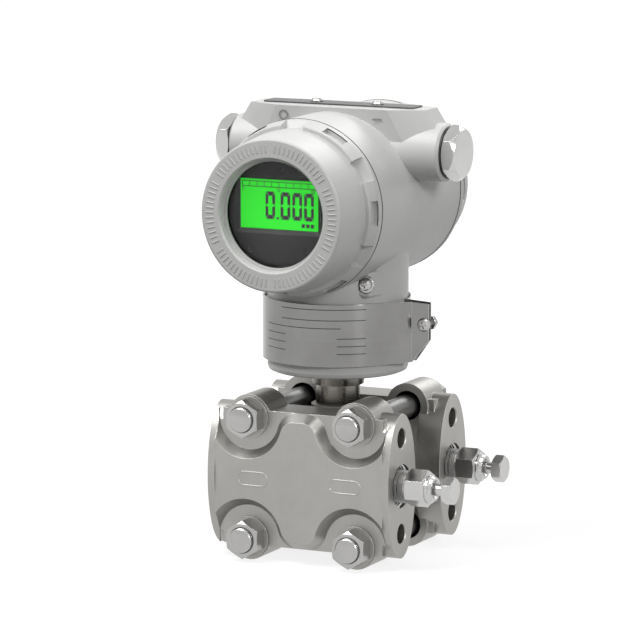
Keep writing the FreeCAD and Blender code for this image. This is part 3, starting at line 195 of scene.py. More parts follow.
def stand(work, name, material, body, sharp=30):
    """Makes a piece of the modelled work: merges its seams, turns its faces outwards,
    shades it smooth between sharp edges and lets it ride on a body."""
    bmesh.ops.remove_doubles(work, verts=work.verts, dist=0.002 * MM)
    bmesh.ops.recalc_face_normals(work, faces=work.faces)
    mesh = bpy.data.meshes.new(name)
    work.to_mesh(mesh)
    work.free()
    mesh.shade_smooth()
    mesh.set_sharp_from_angle(angle=math.radians(sharp))
    mesh.materials.append(material)
    piece = bpy.data.objects.new(name, mesh)
    bpy.context.scene.collection.objects.link(piece)
    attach(piece, body)
    return piece


def section_of(work, points):
    """A closed section of single edges."""
    corners = [work.verts.new(point) for point in points]
    sides = [work.edges.new(pair) for pair in zip(corners, corners[1:] + corners[:1])]
    return corners + sides


def oval_rim(work, x, z, long, high, face_y, outwards):
    """Sweeps the rim's section round two half circles and the two runs between them."""
    half_run = (long - high) / 2
    bend = (high - rim_wide) / 2
    section = [
        (x + half_run, face_y + outwards * height, z + bend + across)
        for across, height in (
            (-rim_wide / 2, -rim_sunk),
            (rim_wide / 2, -rim_sunk),
            (rim_wide / 4, rim_proud),
            (-rim_wide / 4, rim_proud),
        )
    ]
    ring = section_of(work, section)
    for side in (1, -1):
        centre = (x + side * half_run, face_y, z)
        ring = bmesh.ops.spin(
            work,
            geom=ring,
            cent=centre,
            axis=(0, 1, 0),
            angle=math.pi,
            steps=14,
        )["geom_last"]
        edges = [part for part in ring if isinstance(part, bmesh.types.BMEdge)]
        ring = bmesh.ops.extrude_edge_only(work, edges=edges)["geom"]
        ring = [part for part in ring if not isinstance(part, bmesh.types.BMFace)]
        moved = [part for part in ring if isinstance(part, bmesh.types.BMVert)]
        bmesh.ops.translate(work, vec=(-side * half_run * 2, 0, 0), verts=moved)


for side, flange in ((-1, "front"), (1, "rear")):
    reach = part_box(f"{flange}_flange")[0 if side < 0 else 1].y
    work = bmesh.new()
    for x, long, high in ((-21.36, 14.8, 6.8), (22.01, 15.4, 6.6)):
        face_y = reach - side * ear_proud
        oval_rim(work, neck_x + x * MM, rim_z, long * MM, high * MM, face_y, side)
    stand(work, f"{flange}_foundry_rims", satin_steel, "process_block")

# Port threads: cut in all four mouths and deeper in the two bores of the process side.
# Each is one helical ridge that stands inwards from the bore.
thread_sunk = 0.12 * MM


def wind(work, x, y, root, tip, pitch, length, steps=40):
    """Sweeps a thread's section in a helix along X from x, and closes its two ends."""
    into = math.copysign(thread_sunk, root - tip)
    corners = [
        work.verts.new((x + along * pitch, y, radius))
        for along, radius in ((0, root + into), (0.42, tip), (0.5, tip), (0.92, root + into))
    ]
    start = work.faces.new(corners)
    turns = length / pitch - 1
    bmesh.ops.spin(
        work,
        geom=[start, *start.edges, *corners],
        cent=(x, y, 0),
        axis=(1, 0, 0),
        dvec=(pitch / steps, 0, 0),
        angle=math.tau * turns,
        steps=round(turns * steps),
    )


port_pitch, port_root, port_tip = 1.2 * MM, 9.45 * MM, 8.85 * MM
bore_pitch, bore_root, bore_tip = 1.1 * MM, 6.7 * MM, 6.25 * MM
mouth_depth, bore_depth, lead_in = 9 * MM, 25 * MM, 0.6 * MM
bright_steel = finish(
    "bright_steel",
    (0.46, 0.457, 0.45),
    (0.52, 0.517, 0.51),
    (0.72, 0.71, 0.70),
    (0.16, 0.24),
    metallic=1.0,
    grain=(2600, 0.000003),
    painted_edge_width=0.0002,
)
work = bmesh.new()
for side in ("front", "rear"):
    low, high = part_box(f"{side}_vent_stem")
    port_y = (low.y + high.y) / 2
    process_x, vent_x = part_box(f"{side}_flange")[0].x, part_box(f"{side}_flange")[1].x
    run = mouth_depth - lead_in * 2
    wind(work, process_x + lead_in, port_y, port_root, port_tip, port_pitch, run)
    wind(work, vent_x - mouth_depth + lead_in, port_y, port_root, port_tip, port_pitch, run)
    bore_run = bore_depth - mouth_depth - lead_in * 2
    wind(work, process_x + mouth_depth + lead_in, port_y, bore_root, bore_tip, bore_pitch, bore_run)
stand(work, "port_threads", bright_steel, "process_block", 50)

# Vent valves: turned from hexagon bar, with a fine thread between the hexagon and the
# port, and a stem with its own small hexagon. Bright, as bar stock leaves the lathe.
bar_steel = finish(
    "bar_steel",
    (0.36, 0.357, 0.35),
    (0.42, 0.417, 0.41),
    (0.62, 0.61, 0.60),
    (0.2, 0.28),
    metallic=1.0,
    grain=(2600, 0.000003),
    painted_edge_width=0.0002,
)
dress(bright_steel, "front_vent_body", "rear_vent_body", "front_vent_stem", "rear_vent_stem")
dress(bar_steel, "front_vent_ball", "rear_vent_ball")
# The thread's steel is darker than the bar's: painted shade of its grooves.
thread_steel_painted_shade = finish(
    "thread_steel_painted_shade",
    (0.20, 0.20, 0.195),
    (0.25, 0.25, 0.245),
    (0.4, 0.4, 0.39),
    (0.3, 0.4),
    metallic=1.0,
    grain=(2600, 0.000004),
    painted_edge_width=0.0001,
)
shank_pitch, shank_r, shank_tip_r = 0.85 * MM, 6.65 * MM, 7.05 * MM
shank_lift, hexagon_start = 0.1 * MM, 3.8 * MM
for side in ("front", "rear"):
    low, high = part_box(f"{side}_vent_stem")
    vent_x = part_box(f"{side}_flange")[1].x
    start_x = vent_x - mouth_depth + shank_lift
    run = vent_x + hexagon_start - start_x
    work = bmesh.new()
    wind(work, start_x, (low.y + high.y) / 2, shank_r, shank_tip_r, shank_pitch, run, 36)
    stand(work, f"{side}_vent_thread", thread_steel_painted_shade, "process_block", 50)

# Sensor capsule and stem: welded and turned stainless steel, warmer than the flanges
# from the heat of the weld, with rings of the tool round the stem.
RINGS_ROUND_Z = (0.002, 0.002, 1)
turned_steel = finish(
    "turned_steel",
    (0.17, 0.16, 0.145),
    (0.205, 0.195, 0.178),
    (0.4, 0.385, 0.36),
    (0.22, 0.3),
    metallic=1.0,
    grain=(2200, 0.000001),
    stretch=RINGS_ROUND_Z,
    painted_edge_width=0.0001,
)
dress(turned_steel, "sensor_stem")
dress(bright_steel, "high_diaphragm", "low_diaphragm")

# Flange bolts: carbon steel, darkened by its plating on the long shanks, with bright
# nuts and washers of stainless steel.
plated_steel = finish(
    "plated_steel",
    (0.13, 0.13, 0.13),
    (0.18, 0.18, 0.175),
    (0.35, 0.35, 0.34),
    (0.26, 0.36),
    metallic=1.0,
    grain=(2400, 0.000006),
    painted_edge_width=0.0004,
)
dress(plated_steel, "flange_bolts")
dress(satin_steel, "flange_washers")
dress(bar_steel, "flange_nuts")

# Bolt ends: turned domes that stand out of the nuts, bare and bright, each with a groove
# where its thread runs out.
bolt_pitch_x, nut_flats = 25 * MM, 14.5 * MM
nuts_low, nuts_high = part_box("flange_nuts")
bolt_z = nuts_high.z - nut_flats / math.sqrt(3)
bolt_places = [
    (neck_x + side_x * bolt_pitch_x, side_z * bolt_z) for side_x in (-1, 1) for side_z in (-1, 1)
]
work = bmesh.new()
for x, z in bolt_places:
    turned = [
        work.verts.new((x, nuts_low.y - out * MM, z + radius * MM))
        for out, radius in (
            (-0.3, 5.3),
            (0.15, 5.3),
            (0.25, 4.75),
            (0.6, 4.75),
            (0.75, 5.35),
            (1.25, 5.35),
            (1.7, 4.85),
            (2.0, 3.4),
            (2.15, 1.7),
            (2.2, 0),
        )
    ]
    line = [work.edges.new(pair) for pair in zip(turned, turned[1:])]
    bmesh.ops.spin(
        work,
        geom=turned + line,
        cent=(x, 0, z),
        axis=(0, 1, 0),
        angle=math.tau,
        steps=40,
        use_merge=True,
    )
    foot = [edge for edge in work.edges if edge.is_boundary and edge.verts[0].co.y > nuts_low.y]
    bmesh.ops.holes_fill(work, edges=foot)
stand(work, "bolt_end_domes", bar_steel, "process_block", 25)

# Nut mouths: a dark ring on each nut round the bolt's end, painted shade where the
# chamfered start of the nut's thread lies in shadow.
mouth_painted_shade = finish(
    "mouth_painted_shade",
    (0.03, 0.03, 0.03),
    (0.045, 0.045, 0.045),
    (0.08, 0.08, 0.08),
    (0.4, 0.5),
)
mouth_in_r, mouth_out_r, mouth_sunk, mouth_proud = 4.6 * MM, 5.8 * MM, 0.2 * MM, 0.03 * MM
work = bmesh.new()
for x, z in bolt_places:
    section = [
        (x, nuts_low.y + mouth_sunk, z + mouth_in_r),
        (x, nuts_low.y + mouth_sunk, z + mouth_out_r),
        (x, nuts_low.y - mouth_proud, z + mouth_out_r),
        (x, nuts_low.y - mouth_proud, z + mouth_in_r),
    ]
    bmesh.ops.spin(
        work,
        geom=section_of(work, section),
        cent=(x, 0, z),
        axis=(0, 1, 0),
        angle=math.tau,
        steps=40,
        use_merge=True,
    )
stand(work, "nut_mouths", mouth_painted_shade, "process_block")

# Housing: cast aluminium under a fine matt powder coat in pale grey, baked on before the
# joints are machined. Its edges are painted paler, a painted highlight.
powder_coat = finish(
    "powder_coat",
    (0.50, 0.50, 0.49),
    (0.53, 0.53, 0.52),
    (0.60, 0.60, 0.59),
    (0.36, 0.5),
    grain=(1900, 0.000012),
    painted_edge_width=0.0004,
)
dress(powder_coat, "housing")

# Key marks: a ring and a bar in dark paint on the front of the pad, each below its key,
# so that a hand finds the right one.
mark_thick, mark_stroke = 0.06 * MM, 0.55 * MM
pad_drop, pad_half_deep = 4.3 * MM, 13 * MM
mark_paint = finish(
    "mark_paint",
    (0.17, 0.17, 0.17),
    (0.20, 0.20, 0.20),
    (0.26, 0.26, 0.26),
    (0.4, 0.5),
    grain=(2500, 0.000004),
    painted_edge_width=0.0001,
)
plate_low, plate_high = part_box("top_plate")
pad_face_y = (plate_low.y + plate_high.y) / 2 - pad_half_deep
mark_z = plate_low.z - pad_drop
ring_r, ring_aside, bar_aside = 2.2 * MM, 22.4 * MM, 21.6 * MM
ring_x = neck_x - ring_aside
work = bmesh.new()
section = [
    (ring_x, pad_face_y + along, mark_z + radius)
    for along, radius in (
        (mark_thick, ring_r),
        (-mark_thick, ring_r),
        (-mark_thick, ring_r - mark_stroke),
        (mark_thick, ring_r - mark_stroke),
    )
]
bmesh.ops.spin(
    work,
    geom=section_of(work, section),
    cent=(ring_x, pad_face_y, mark_z),
    axis=(0, 1, 0),
    angle=math.tau,
    steps=48,
    use_merge=True,
)
bar = bmesh.ops.create_cube(work, size=1)["verts"]
bmesh.ops.scale(work, vec=(ring_r * 2, mark_thick * 2, mark_stroke), verts=bar)
bmesh.ops.translate(work, vec=(neck_x + bar_aside, pad_face_y, mark_z), verts=bar)
stand(work, "key_marks", mark_paint, "head")

# Tag band: stainless strip brushed along its length, bent round the neck and clamped by
# one screw, so that its shine stands in upright streaks.
brushed_band = finish(
    "brushed_band",
    (0.205, 0.203, 0.20),
    (0.235, 0.233, 0.23),
    (0.5, 0.49, 0.48),
    (0.17, 0.22),
    metallic=1.0,
    grain=(2600, 0.0000003),
    stretch=RINGS_ROUND_Z,
    painted_edge_width=0.0003,
)
band_shader = brushed_band.node_tree.nodes["Principled BSDF"]
band_shader.inputs["Anisotropic"].default_value = 0.85
band_shader.inputs["Anisotropic Rotation"].default_value = 0.25
dress(brushed_band, "tag_band")
dress(bar_steel, "band_screw", "band_nut", "ground_screw", "ground_washer", "neck_set_screw")

# Tag rules: thin lines etched in the band and filled with black, which part it into
# empty fields for the user's own tag.
rule_high, rule_proud, rule_step = 0.36 * MM, 0.03 * MM, 2.5
band_low, band_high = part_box("tag_band")
band_r = (band_high.y - band_low.y) / 2
band_x = band_low.x + band_r
etch_black = finish(
    "etch_black",
    (0.035, 0.035, 0.035),
    (0.05, 0.05, 0.05),
    (0.07, 0.07, 0.07),
    (0.4, 0.5),
    grain=(2500, 0.000002),
    painted_edge_width=0.0001,
)
work = bmesh.new()
for drops, start, end in (
    ((2.2, 6.8), -112, -42),
    ((10.2,), -131, -62),
    ((13.6, 17.0, 20.4), -131, -108),
    ((14.6, 17.9, 21.2), -65, -42),
):
    along = Vector((math.cos(math.radians(start)), math.sin(math.radians(start)), 0))
    for drop in drops:
        z = band_high.z - drop * MM
        corners = [
            work.verts.new(Vector((band_x, 0, z + up)) + along * radius)
            for radius, up in (
                (band_r - rule_proud, -rule_high / 2),
                (band_r + rule_proud, -rule_high / 2),
                (band_r + rule_proud, rule_high / 2),
                (band_r - rule_proud, rule_high / 2),
            )
        ]
        face = work.faces.new(corners)
        bmesh.ops.spin(
            work,
            geom=[face, *face.edges, *corners],
            cent=(band_x, 0, z),
            axis=(0, 0, 1),
            angle=math.radians(end - start),
            steps=round((end - start) / rule_step),
        )
stand(work, "tag_rules", etch_black, "head")

# Covers: cast and turned aluminium, coated as the housing, screwed on the barrel's
# threads by hand at their lugs.
dress(powder_coat, "front_cover", "rear_cover")

# Cover lugs: six blocks cast round each cover's foot, each with a slot for a bar. They
# stand square on the cover, so that the bar has a wall to push against.
lug_half_angle, slot_half_angle = 21.7, 8.25
slot_floor_r, slot_from, slot_to, rim = 35.2 * MM, 3.4 * MM, 7.8 * MM, 3 * MM
lug_out, lug_foot_r, lug_fall, lug_chamfer = 9 * MM, 33.9 * MM, 1.5 * MM, 0.4 * MM
lug_lap, slot_past = 0.4 * MM, 1.9 * MM
cover_low, cover_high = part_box("front_cover")
barrel_z = (cover_low.z + cover_high.z) / 2
barrel_r = (cover_high.x - cover_low.x) / 2


def held(work, name):
    """Puts modelled work in the scene for a moment, to cut or be cut."""
    bmesh.ops.recalc_face_normals(work, faces=work.faces)
    mesh = bpy.data.meshes.new(name)
    work.to_mesh(mesh)
    work.free()
    shape = bpy.data.objects.new(name, mesh)
    bpy.context.scene.collection.objects.link(shape)
    return shape


def cut_away(blank_work, cutter_work):
    """What is left of one modelled shape where another is taken from it."""
    blank, cutter = held(blank_work, "blank"), held(cutter_work, "cutter")
    openings = blank.modifiers.new("openings", "BOOLEAN")
    openings.operation = "DIFFERENCE"
    openings.solver = "EXACT"
    openings.use_self = True
    openings.object = cutter
    left = bmesh.new()
    left.from_object(blank, bpy.context.evaluated_depsgraph_get())
    bpy.data.objects.remove(blank)
    bpy.data.objects.remove(cutter)
    return left


def sector(work, section, joint_y, outwards, middle, half_angle, steps):
    """Turns a section of radii and distances from the joint through part of a circle."""
    start = Matrix.Rotation(math.radians(middle - half_angle), 4, "Y")
    at_axis = Matrix.Translation((neck_x, joint_y, barrel_z))
    corners = [
        work.verts.new(at_axis @ start @ Vector((radius, outwards * out, 0)))
        for radius, out in section
    ]
    face = work.faces.new(corners)
    bmesh.ops.spin(
        work,
        geom=[face, *face.edges, *corners],
        cent=(neck_x, joint_y, barrel_z),
        axis=(0, 1, 0),
        angle=math.radians(half_angle * 2),
        steps=steps,
    )


block_section = (
    (barrel_r - lug_lap, rim),
    (barrel_r, rim),
    (barrel_r - lug_fall, lug_out - lug_chamfer),
    (barrel_r - lug_fall - lug_chamfer, lug_out),
    (lug_foot_r, lug_out),
)
slot_section = (
    (slot_floor_r, slot_from),
    (barrel_r + slot_past, slot_from),
    (barrel_r + slot_past, slot_to),
    (slot_floor_r, slot_to),
)
for side, outwards in (("front", -1), ("rear", 1)):
    joint_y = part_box(f"{side}_seal")[0 if outwards < 0 else 1].y
    blocks, slots = bmesh.new(), bmesh.new()
    for middle in range(0, 360, 60):
        sector(blocks, block_section, joint_y, outwards, middle, lug_half_angle, 14)
        sector(slots, slot_section, joint_y, outwards, middle, slot_half_angle, 6)
    work = cut_away(blocks, slots)
    stand(work, f"{side}_cover_lugs", powder_coat, f"{side}_cover_set")

# Face ribs: a ring of short plain ribs round the window, cast with the cover, which give
# the palm a hold.
rib_long, rib_wide, rib_proud, rib_sunk = 3.7 * MM, 0.62 * MM, 0.22 * MM, 0.2 * MM
rib_middle_r, rib_places, rib_break = 28.3 * MM, 84, 14
work = bmesh.new()
for place in range(rib_places):
    if place % rib_break == 0:
        continue
    rib = bmesh.ops.create_cube(work, size=1)["verts"]
    bmesh.ops.scale(work, vec=(rib_wide, rib_proud + rib_sunk, rib_long), verts=rib)
    front = [vert for vert in rib if vert.co.y < 0]
    bmesh.ops.scale(work, vec=(0.6, 1, 0.93), verts=front)
    middle_y = cover_low.y + (rib_sunk - rib_proud) / 2
    bmesh.ops.translate(work, vec=(0, middle_y, rib_middle_r), verts=rib)
    turn = Matrix.Rotation(math.tau * place / rib_places, 4, "Y")
    bmesh.ops.transform(work, matrix=Matrix.Translation((neck_x, 0, barrel_z)) @ turn, verts=rib)
stand(work, "cover_face_ribs", powder_coat, "front_cover_set")

# Seals: black nitrile rings in the cover joints and under the plugs, and the flat rings
# and return pads inside.
nitrile = finish(
    "nitrile",
    (0.012, 0.012, 0.012),
    (0.02, 0.02, 0.02),
    (0.05, 0.05, 0.05),
    (0.4, 0.6),
    grain=(2500, 0.00002),
    painted_edge_width=0.0002,
)
dress(nitrile, "front_seal", "rear_seal", "left_plug_seal", "right_plug_seal")
dress(nitrile, "high_side_gasket", "low_side_gasket", "zero_return_pad", "span_return_pad")

# Seal beads: where each seal is squeezed in its joint, it stands a little out of it as a
# thin dark line between cover and housing.
bead_proud, bead_sunk, bead_steps = 0.18 * MM, 0.9 * MM, 8
for side in ("front", "rear"):
    low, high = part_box(f"{side}_seal")
    middle_y, half_wide = (low.y + high.y) / 2, (high.y - low.y) / 2
    foot_z = barrel_z + barrel_r - bead_sunk
    outline = [(neck_x, high.y, foot_z), (neck_x, low.y, foot_z)]
    for step in range(bead_steps + 1):
        angle = math.pi * step / bead_steps
        crown = barrel_r + bead_proud * math.sin(angle)
        outline.append((neck_x, middle_y - half_wide * math.cos(angle), barrel_z + crown))
    work = bmesh.new()
    bmesh.ops.spin(
        work,
        geom=section_of(work, outline),
        cent=(neck_x, 0, barrel_z),
        axis=(0, 1, 0),
        angle=math.tau,
        steps=144,
        use_merge=True,
    )
    stand(work, f"{side}_seal_bead", nitrile, f"{side}_seal_ring")

# Window: clear toughened glass, a little hazy from handling, held from behind by a turned
# ring with fine threads.
clear_glass = bpy.data.materials.new("clear_glass")
clear_glass.use_nodes = True
glass_shader = clear_glass.node_tree.nodes["Principled BSDF"]
glass_shader.inputs["Base Color"].default_value = (1, 1, 1, 1)
glass_shader.inputs["IOR"].default_value = 1.1
glass_shader.inputs["Transmission Weight"].default_value = 1
smear = clear_glass.node_tree.nodes.new("ShaderNodeTexNoise")
smear.inputs["Scale"].default_value = 60
smear_place = clear_glass.node_tree.nodes.new("ShaderNodeTexCoord")
smear_range = clear_glass.node_tree.nodes.new("ShaderNodeMapRange")
smear_range.inputs["To Min"].default_value = 0.0
smear_range.inputs["To Max"].default_value = 0.03
clear_glass.node_tree.links.new(smear_place.outputs["Object"], smear.inputs["Vector"])
clear_glass.node_tree.links.new(smear.outputs["Fac"], smear_range.inputs["Value"])
clear_glass.node_tree.links.new(smear_range.outputs["Result"], glass_shader.inputs["Roughness"])
dress(clear_glass, "window_glass")
dress(plated_steel, "window_retainer")

# Display bezel: a dark matt moulding with a bevelled window for the panel and three
# shallow dimples over the push keys of the display board.
bezel_plastic = finish(
    "bezel_plastic",
    (0.021, 0.021, 0.021),
    (0.026, 0.026, 0.026),
    (0.05, 0.05, 0.05),
    (0.45, 0.6),
    grain=(2600, 0.00002),
    painted_edge_width=0.0003,
)
bezel_plastic.node_tree.nodes["Principled BSDF"].inputs["Specular IOR Level"].default_value = 0.25
bezel_low, bezel_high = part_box("display_bezel")
panel_low, panel_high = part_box("lcd_panel")
bezel_r = (bezel_high.x - bezel_low.x) / 2
bevel_wide, bevel_deep, clearance = 1.8 * MM, 1.1 * MM, 0.05 * MM
dimple_floor_r, dimple_mouth_r, dimple_deep = 0.98 * MM, 1.82 * MM, 0.45 * MM
facing_front = Matrix.Rotation(math.pi / 2, 4, "X")
disc = bmesh.new()
bmesh.ops.create_cone(
    disc,
    cap_ends=True,
    segments=96,
    radius1=bezel_r,
    radius2=bezel_r,
    depth=bezel_high.y - bezel_low.y,
    matrix=Matrix.Translation((neck_x, (bezel_low.y + bezel_high.y) / 2, barrel_z)) @ facing_front,
)
window = bmesh.new()
frustum = bmesh.ops.create_cube(window, size=1)["verts"]
bmesh.ops.scale(
    window,
    vec=(
        panel_high.x - panel_low.x + clearance * 2,
        bevel_deep * 2,
        panel_high.z - panel_low.z + clearance * 2,
    ),
    verts=frustum,
)
bmesh.ops.translate(
    window,
    vec=((panel_low.x + panel_high.x) / 2, bezel_low.y, (panel_low.z + panel_high.z) / 2),
    verts=frustum,
)
for vert in frustum:
    if vert.co.y < bezel_low.y:
        vert.co.x += math.copysign(bevel_wide * 2, vert.co.x - neck_x)
        vert.co.z += math.copysign(bevel_wide * 2, vert.co.z - (panel_low.z + panel_high.z) / 2)
inner = [face for face in window.faces if face.calc_center_median().y > bezel_low.y + bevel_deep / 2]
deeper = bmesh.ops.extrude_discrete_faces(window, faces=inner)["faces"]
bmesh.ops.translate(window, vec=(0, bezel_high.y - bezel_low.y, 0), verts=deeper[0].verts)
for x, z in ((1.91, 18.19), (-12.56, -15.51), (12.5, -15.24)):
    bmesh.ops.create_cone(
        window,
        cap_ends=True,
        segments=32,
        radius1=dimple_floor_r,
        radius2=dimple_mouth_r,
        depth=dimple_deep * 2,
        matrix=Matrix.Translation((neck_x + x * MM, bezel_low.y, barrel_z + z * MM)) @ facing_front,
    )

work = cut_away(disc, window)
moulding = stand(work, "bezel_moulding", bezel_plastic, "head")
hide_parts("display_bezel")

# Display panel: a liquid-crystal glass set back in the window of the bezel. Its green also
# glows as emission, a painted glow, since the glass keeps the lamps' light from it.
panel_painted_glow = finish(
    "panel_painted_glow",
    (0.012, 0.35, 0.012),
    (0.015, 0.38, 0.015),
    (0.012, 0.32, 0.012),
    (0.2, 0.3),
    grain=(3000, 0.000002),
    painted_edge_width=0.0002,
)
panel_nodes = panel_painted_glow.node_tree.nodes
panel_shader = panel_nodes["Principled BSDF"]
# The panel's own tones feed its emission too: a painted glow.
panel_painted_glow.node_tree.links.new(panel_nodes["painted_edge_light"].outputs["Result"], panel_shader.inputs["Emission Color"])
panel_shader.inputs["Emission Strength"].default_value = 1.0
panel_shader.inputs["Specular IOR Level"].default_value = 0.2
dress(panel_painted_glow, "lcd_panel")

# Digits: liquid-crystal segments on the panel. Large ones read zero, with three small
# plain blocks below, and small ones number a scale of ten steps above.
segment_proud = 0.02 * MM
digit_wide, digit_high, digit_foot, stroke, bar_high = 4.45, 11.6, 4.2, 1.3, 1.8
SEGMENTS = {"0": "abcdef", "1": "bc", "5": "acdfg"}
lcd_ink = finish(
    "lcd_ink",
    (0.014, 0.005, 0.016),
    (0.018, 0.006, 0.020),
    (0.025, 0.01, 0.025),
    (0.3, 0.4),
    grain=(3000, 0.000002),
    painted_edge_width=0.0001,
)
lcd_line = finish(
    "lcd_line",
    (0.008, 0.035, 0.008),
    (0.01, 0.045, 0.01),
    (0.015, 0.06, 0.015),
    (0.3, 0.4),
    grain=(3000, 0.000002),
    painted_edge_width=0.0001,
)


def mark(work, points):
    """A thin mark on the panel from its outline, in millimetres from the panel's corner."""
    corners = [
        work.verts.new((panel_low.x + x * MM, panel_low.y + segment_proud, panel_low.z + z * MM))
        for x, z in points
    ]
    face = work.faces.new(corners)
    raised = bmesh.ops.extrude_face_region(work, geom=[face])["geom"]
    lifted = [part for part in raised if isinstance(part, bmesh.types.BMVert)]
    bmesh.ops.translate(work, vec=(0, -segment_proud * 2, 0), verts=lifted)


def block(work, low_x, low_z, high_x, high_z):
    """A plain rectangular mark."""
    mark(work, ((low_x, low_z), (high_x, low_z), (high_x, high_z), (low_x, high_z)))


def digit(work, figure, left, foot, size):
    """A seven-segment figure with mitred ends, at a share of the large digits' size."""
    wide, middle = digit_wide, digit_high / 2
    outer_in, inner_in, outer_end = 0.4, 1.2, 0.45
    low_end, high_end = 0.15, 0.75
    upright = (
        (0, middle + low_end),
        (0, digit_high - outer_end),
        (stroke, digit_high - bar_high),
        (stroke, middle + high_end),
    )
    across = (
        (outer_in, digit_high),
        (wide - outer_in, digit_high),
        (wide - inner_in, digit_high - bar_high),
        (inner_in, digit_high - bar_high),
    )
    shapes = {
        "a": across,
        "d": [(x, digit_high - z) for x, z in across],
        "f": upright,
        "b": [(wide - x, z) for x, z in upright],
        "e": [(x, digit_high - z) for x, z in upright],
        "c": [(wide - x, digit_high - z) for x, z in upright],
        "g": (
            (inner_in, middle - stroke / 2),
            (wide - inner_in, middle - stroke / 2),
            (wide - inner_in, middle + stroke / 2),
            (inner_in, middle + stroke / 2),
        ),
    }
    for name in SEGMENTS[figure]:
        mark(work, [(left + x * size, foot + z * size) for x, z in shapes[name]])


point_left, point_size = 16.75, 1
block_foot, block_wide, block_high = 1.3, 1.5, 1.6
work = bmesh.new()
for left in (11.55, 18.55, 24.0, 29.45):
    digit(work, "0", left, digit_foot, 1)
block(work, point_left, digit_foot, point_left + point_size, digit_foot + point_size)
for left in (28.3, 30.4, 32.5):
    block(work, left, block_foot, left + block_wide, block_foot + block_high)
stand(work, "lcd_digits", lcd_ink, "head")

scale_foot, scale_high, scale_left, scale_right, line = 17.5, 2.2, 0.9, 34.6, 0.34
work = bmesh.new()
for low_z in (scale_foot, scale_foot + scale_high):
    block(work, scale_left, low_z, scale_right, low_z + line)
for step in range(11):
    x = scale_left + (scale_right - scale_left) * step / 10
    block(work, x - line / 2, scale_foot, x + line / 2, scale_foot + scale_high)
small, figure_step, figure_drop = 0.14, 0.85, 1.75
for middle, figures in ((1.3, "0"), (17.7, "50"), (33.4, "100")):
    for place, figure in enumerate(figures):
        left = middle - figure_step * len(figures) / 2 + place * figure_step
        digit(work, figure, left, scale_foot - figure_drop, small)
stand(work, "lcd_scale", lcd_line, "head")

# Display board and electronics can: a board under green lacquer, plugged on a drawn tin
# can that closes the front compartment behind it.
lacquer = finish(
    "board_lacquer",
    (0.01, 0.06, 0.02),
    (0.015, 0.09, 0.03),
    (0.05, 0.15, 0.06),
    (0.25, 0.4),
)
dress(lacquer, "display_board")
drawn_can = finish(
    "drawn_can",
    (0.45, 0.45, 0.45),
    (0.55, 0.55, 0.55),
    (0.7, 0.7, 0.7),
    (0.3, 0.45),
    metallic=1.0,
)
dress(drawn_can, "electronics_can")

# Terminal block: a black moulding with plated brass screws behind the rear cover, which
# takes the loop's two wires.
moulding_black = finish(
    "terminal_moulding",
    (0.02, 0.02, 0.02),
    (0.03, 0.03, 0.03),
    (0.06, 0.06, 0.06),
    (0.4, 0.55),
)
dress(moulding_black, "terminal_block")
brass = finish(
    "plated_brass",
    (0.55, 0.42, 0.2),
    (0.62, 0.48, 0.24),
    (0.8, 0.66, 0.4),
    (0.2, 0.35),
    metallic=1.0,
)
dress(brass, "terminal_screws")

# Conduit plugs: turned from bright hexagon bar and screwed in both bosses against a
# seal, until a cable takes one's place.
dress(bright_steel, "left_conduit_plug", "right_conduit_plug")

# Top plate: a thin steel strip in dark enamel, held on the pad by two screws, over the
# two turned keys.
enamel = finish(
    "dark_enamel",
    (0.05, 0.05, 0.05),
    (0.07, 0.07, 0.07),
    (0.3, 0.3, 0.3),
    (0.32, 0.45),
    grain=(2200, 0.00001),
    painted_edge_width=0.0002,
)
dress(enamel, "top_plate")
dress(bar_steel, "top_plate_screws", "zero_button", "span_button")

# Studio floor: a pale matt sheet that the camera sees as white and that keeps the
# shadow of what stands on it. Gloss and glass see the same white.
scene = bpy.context.scene


def white_for_looks(nodes, links, dim, bright, target):
    """Shows one shader to camera, gloss and glass rays and the other to the rest."""
    path = nodes.new("ShaderNodeLightPath")
    gloss_or_glass = nodes.new("ShaderNodeMath")
    gloss_or_glass.operation = "MAXIMUM"
    links.new(path.outputs["Is Glossy Ray"], gloss_or_glass.inputs[0])
    links.new(path.outputs["Is Transmission Ray"], gloss_or_glass.inputs[1])
    any_look = nodes.new("ShaderNodeMath")
    any_look.operation = "MAXIMUM"
    links.new(path.outputs["Is Camera Ray"], any_look.inputs[0])
    links.new(gloss_or_glass.outputs["Value"], any_look.inputs[1])
    either = nodes.new("ShaderNodeMixShader")
    links.new(any_look.outputs["Value"], either.inputs["Fac"])
    links.new(dim, either.inputs[1])
    links.new(bright, either.inputs[2])
    links.new(either.outputs["Shader"], target)


ground = bmesh.new()
bmesh.ops.create_grid(ground, x_segments=1, y_segments=1, size=6)
bmesh.ops.translate(ground, vec=(0, 0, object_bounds()[0][2]), verts=ground.verts)
floor_mesh = bpy.data.meshes.new("floor")
ground.to_mesh(floor_mesh)
ground.free()
floor = bpy.data.objects.new("floor", floor_mesh)
scene.collection.objects.link(floor)
pale_floor = bpy.data.materials.new("pale_floor")
pale_floor.use_nodes = True
pale_floor.cycles.emission_sampling = "NONE"
floor_nodes, floor_links = pale_floor.node_tree.nodes, pale_floor.node_tree.links
floor_shader = floor_nodes["Principled BSDF"]
floor_shader.inputs["Base Color"].default_value = (0.2, 0.2, 0.2, 1)
floor_shader.inputs["Roughness"].default_value = 1
floor_shader.inputs["Specular IOR Level"].default_value = 0
floor_glow = floor_nodes.new("ShaderNodeEmission")
floor_place = floor_nodes.new("ShaderNodeTexCoord")
from_middle = floor_nodes.new("ShaderNodeVectorMath")
from_middle.operation = "LENGTH"
floor_links.new(floor_place.outputs["Object"], from_middle.inputs[0])
glow_range = floor_nodes.new("ShaderNodeMapRange")
for label, value in (("From Min", 0.15), ("From Max", 0.7), ("To Min", 0.83), ("To Max", 1.0)):
    glow_range.inputs[label].default_value = value
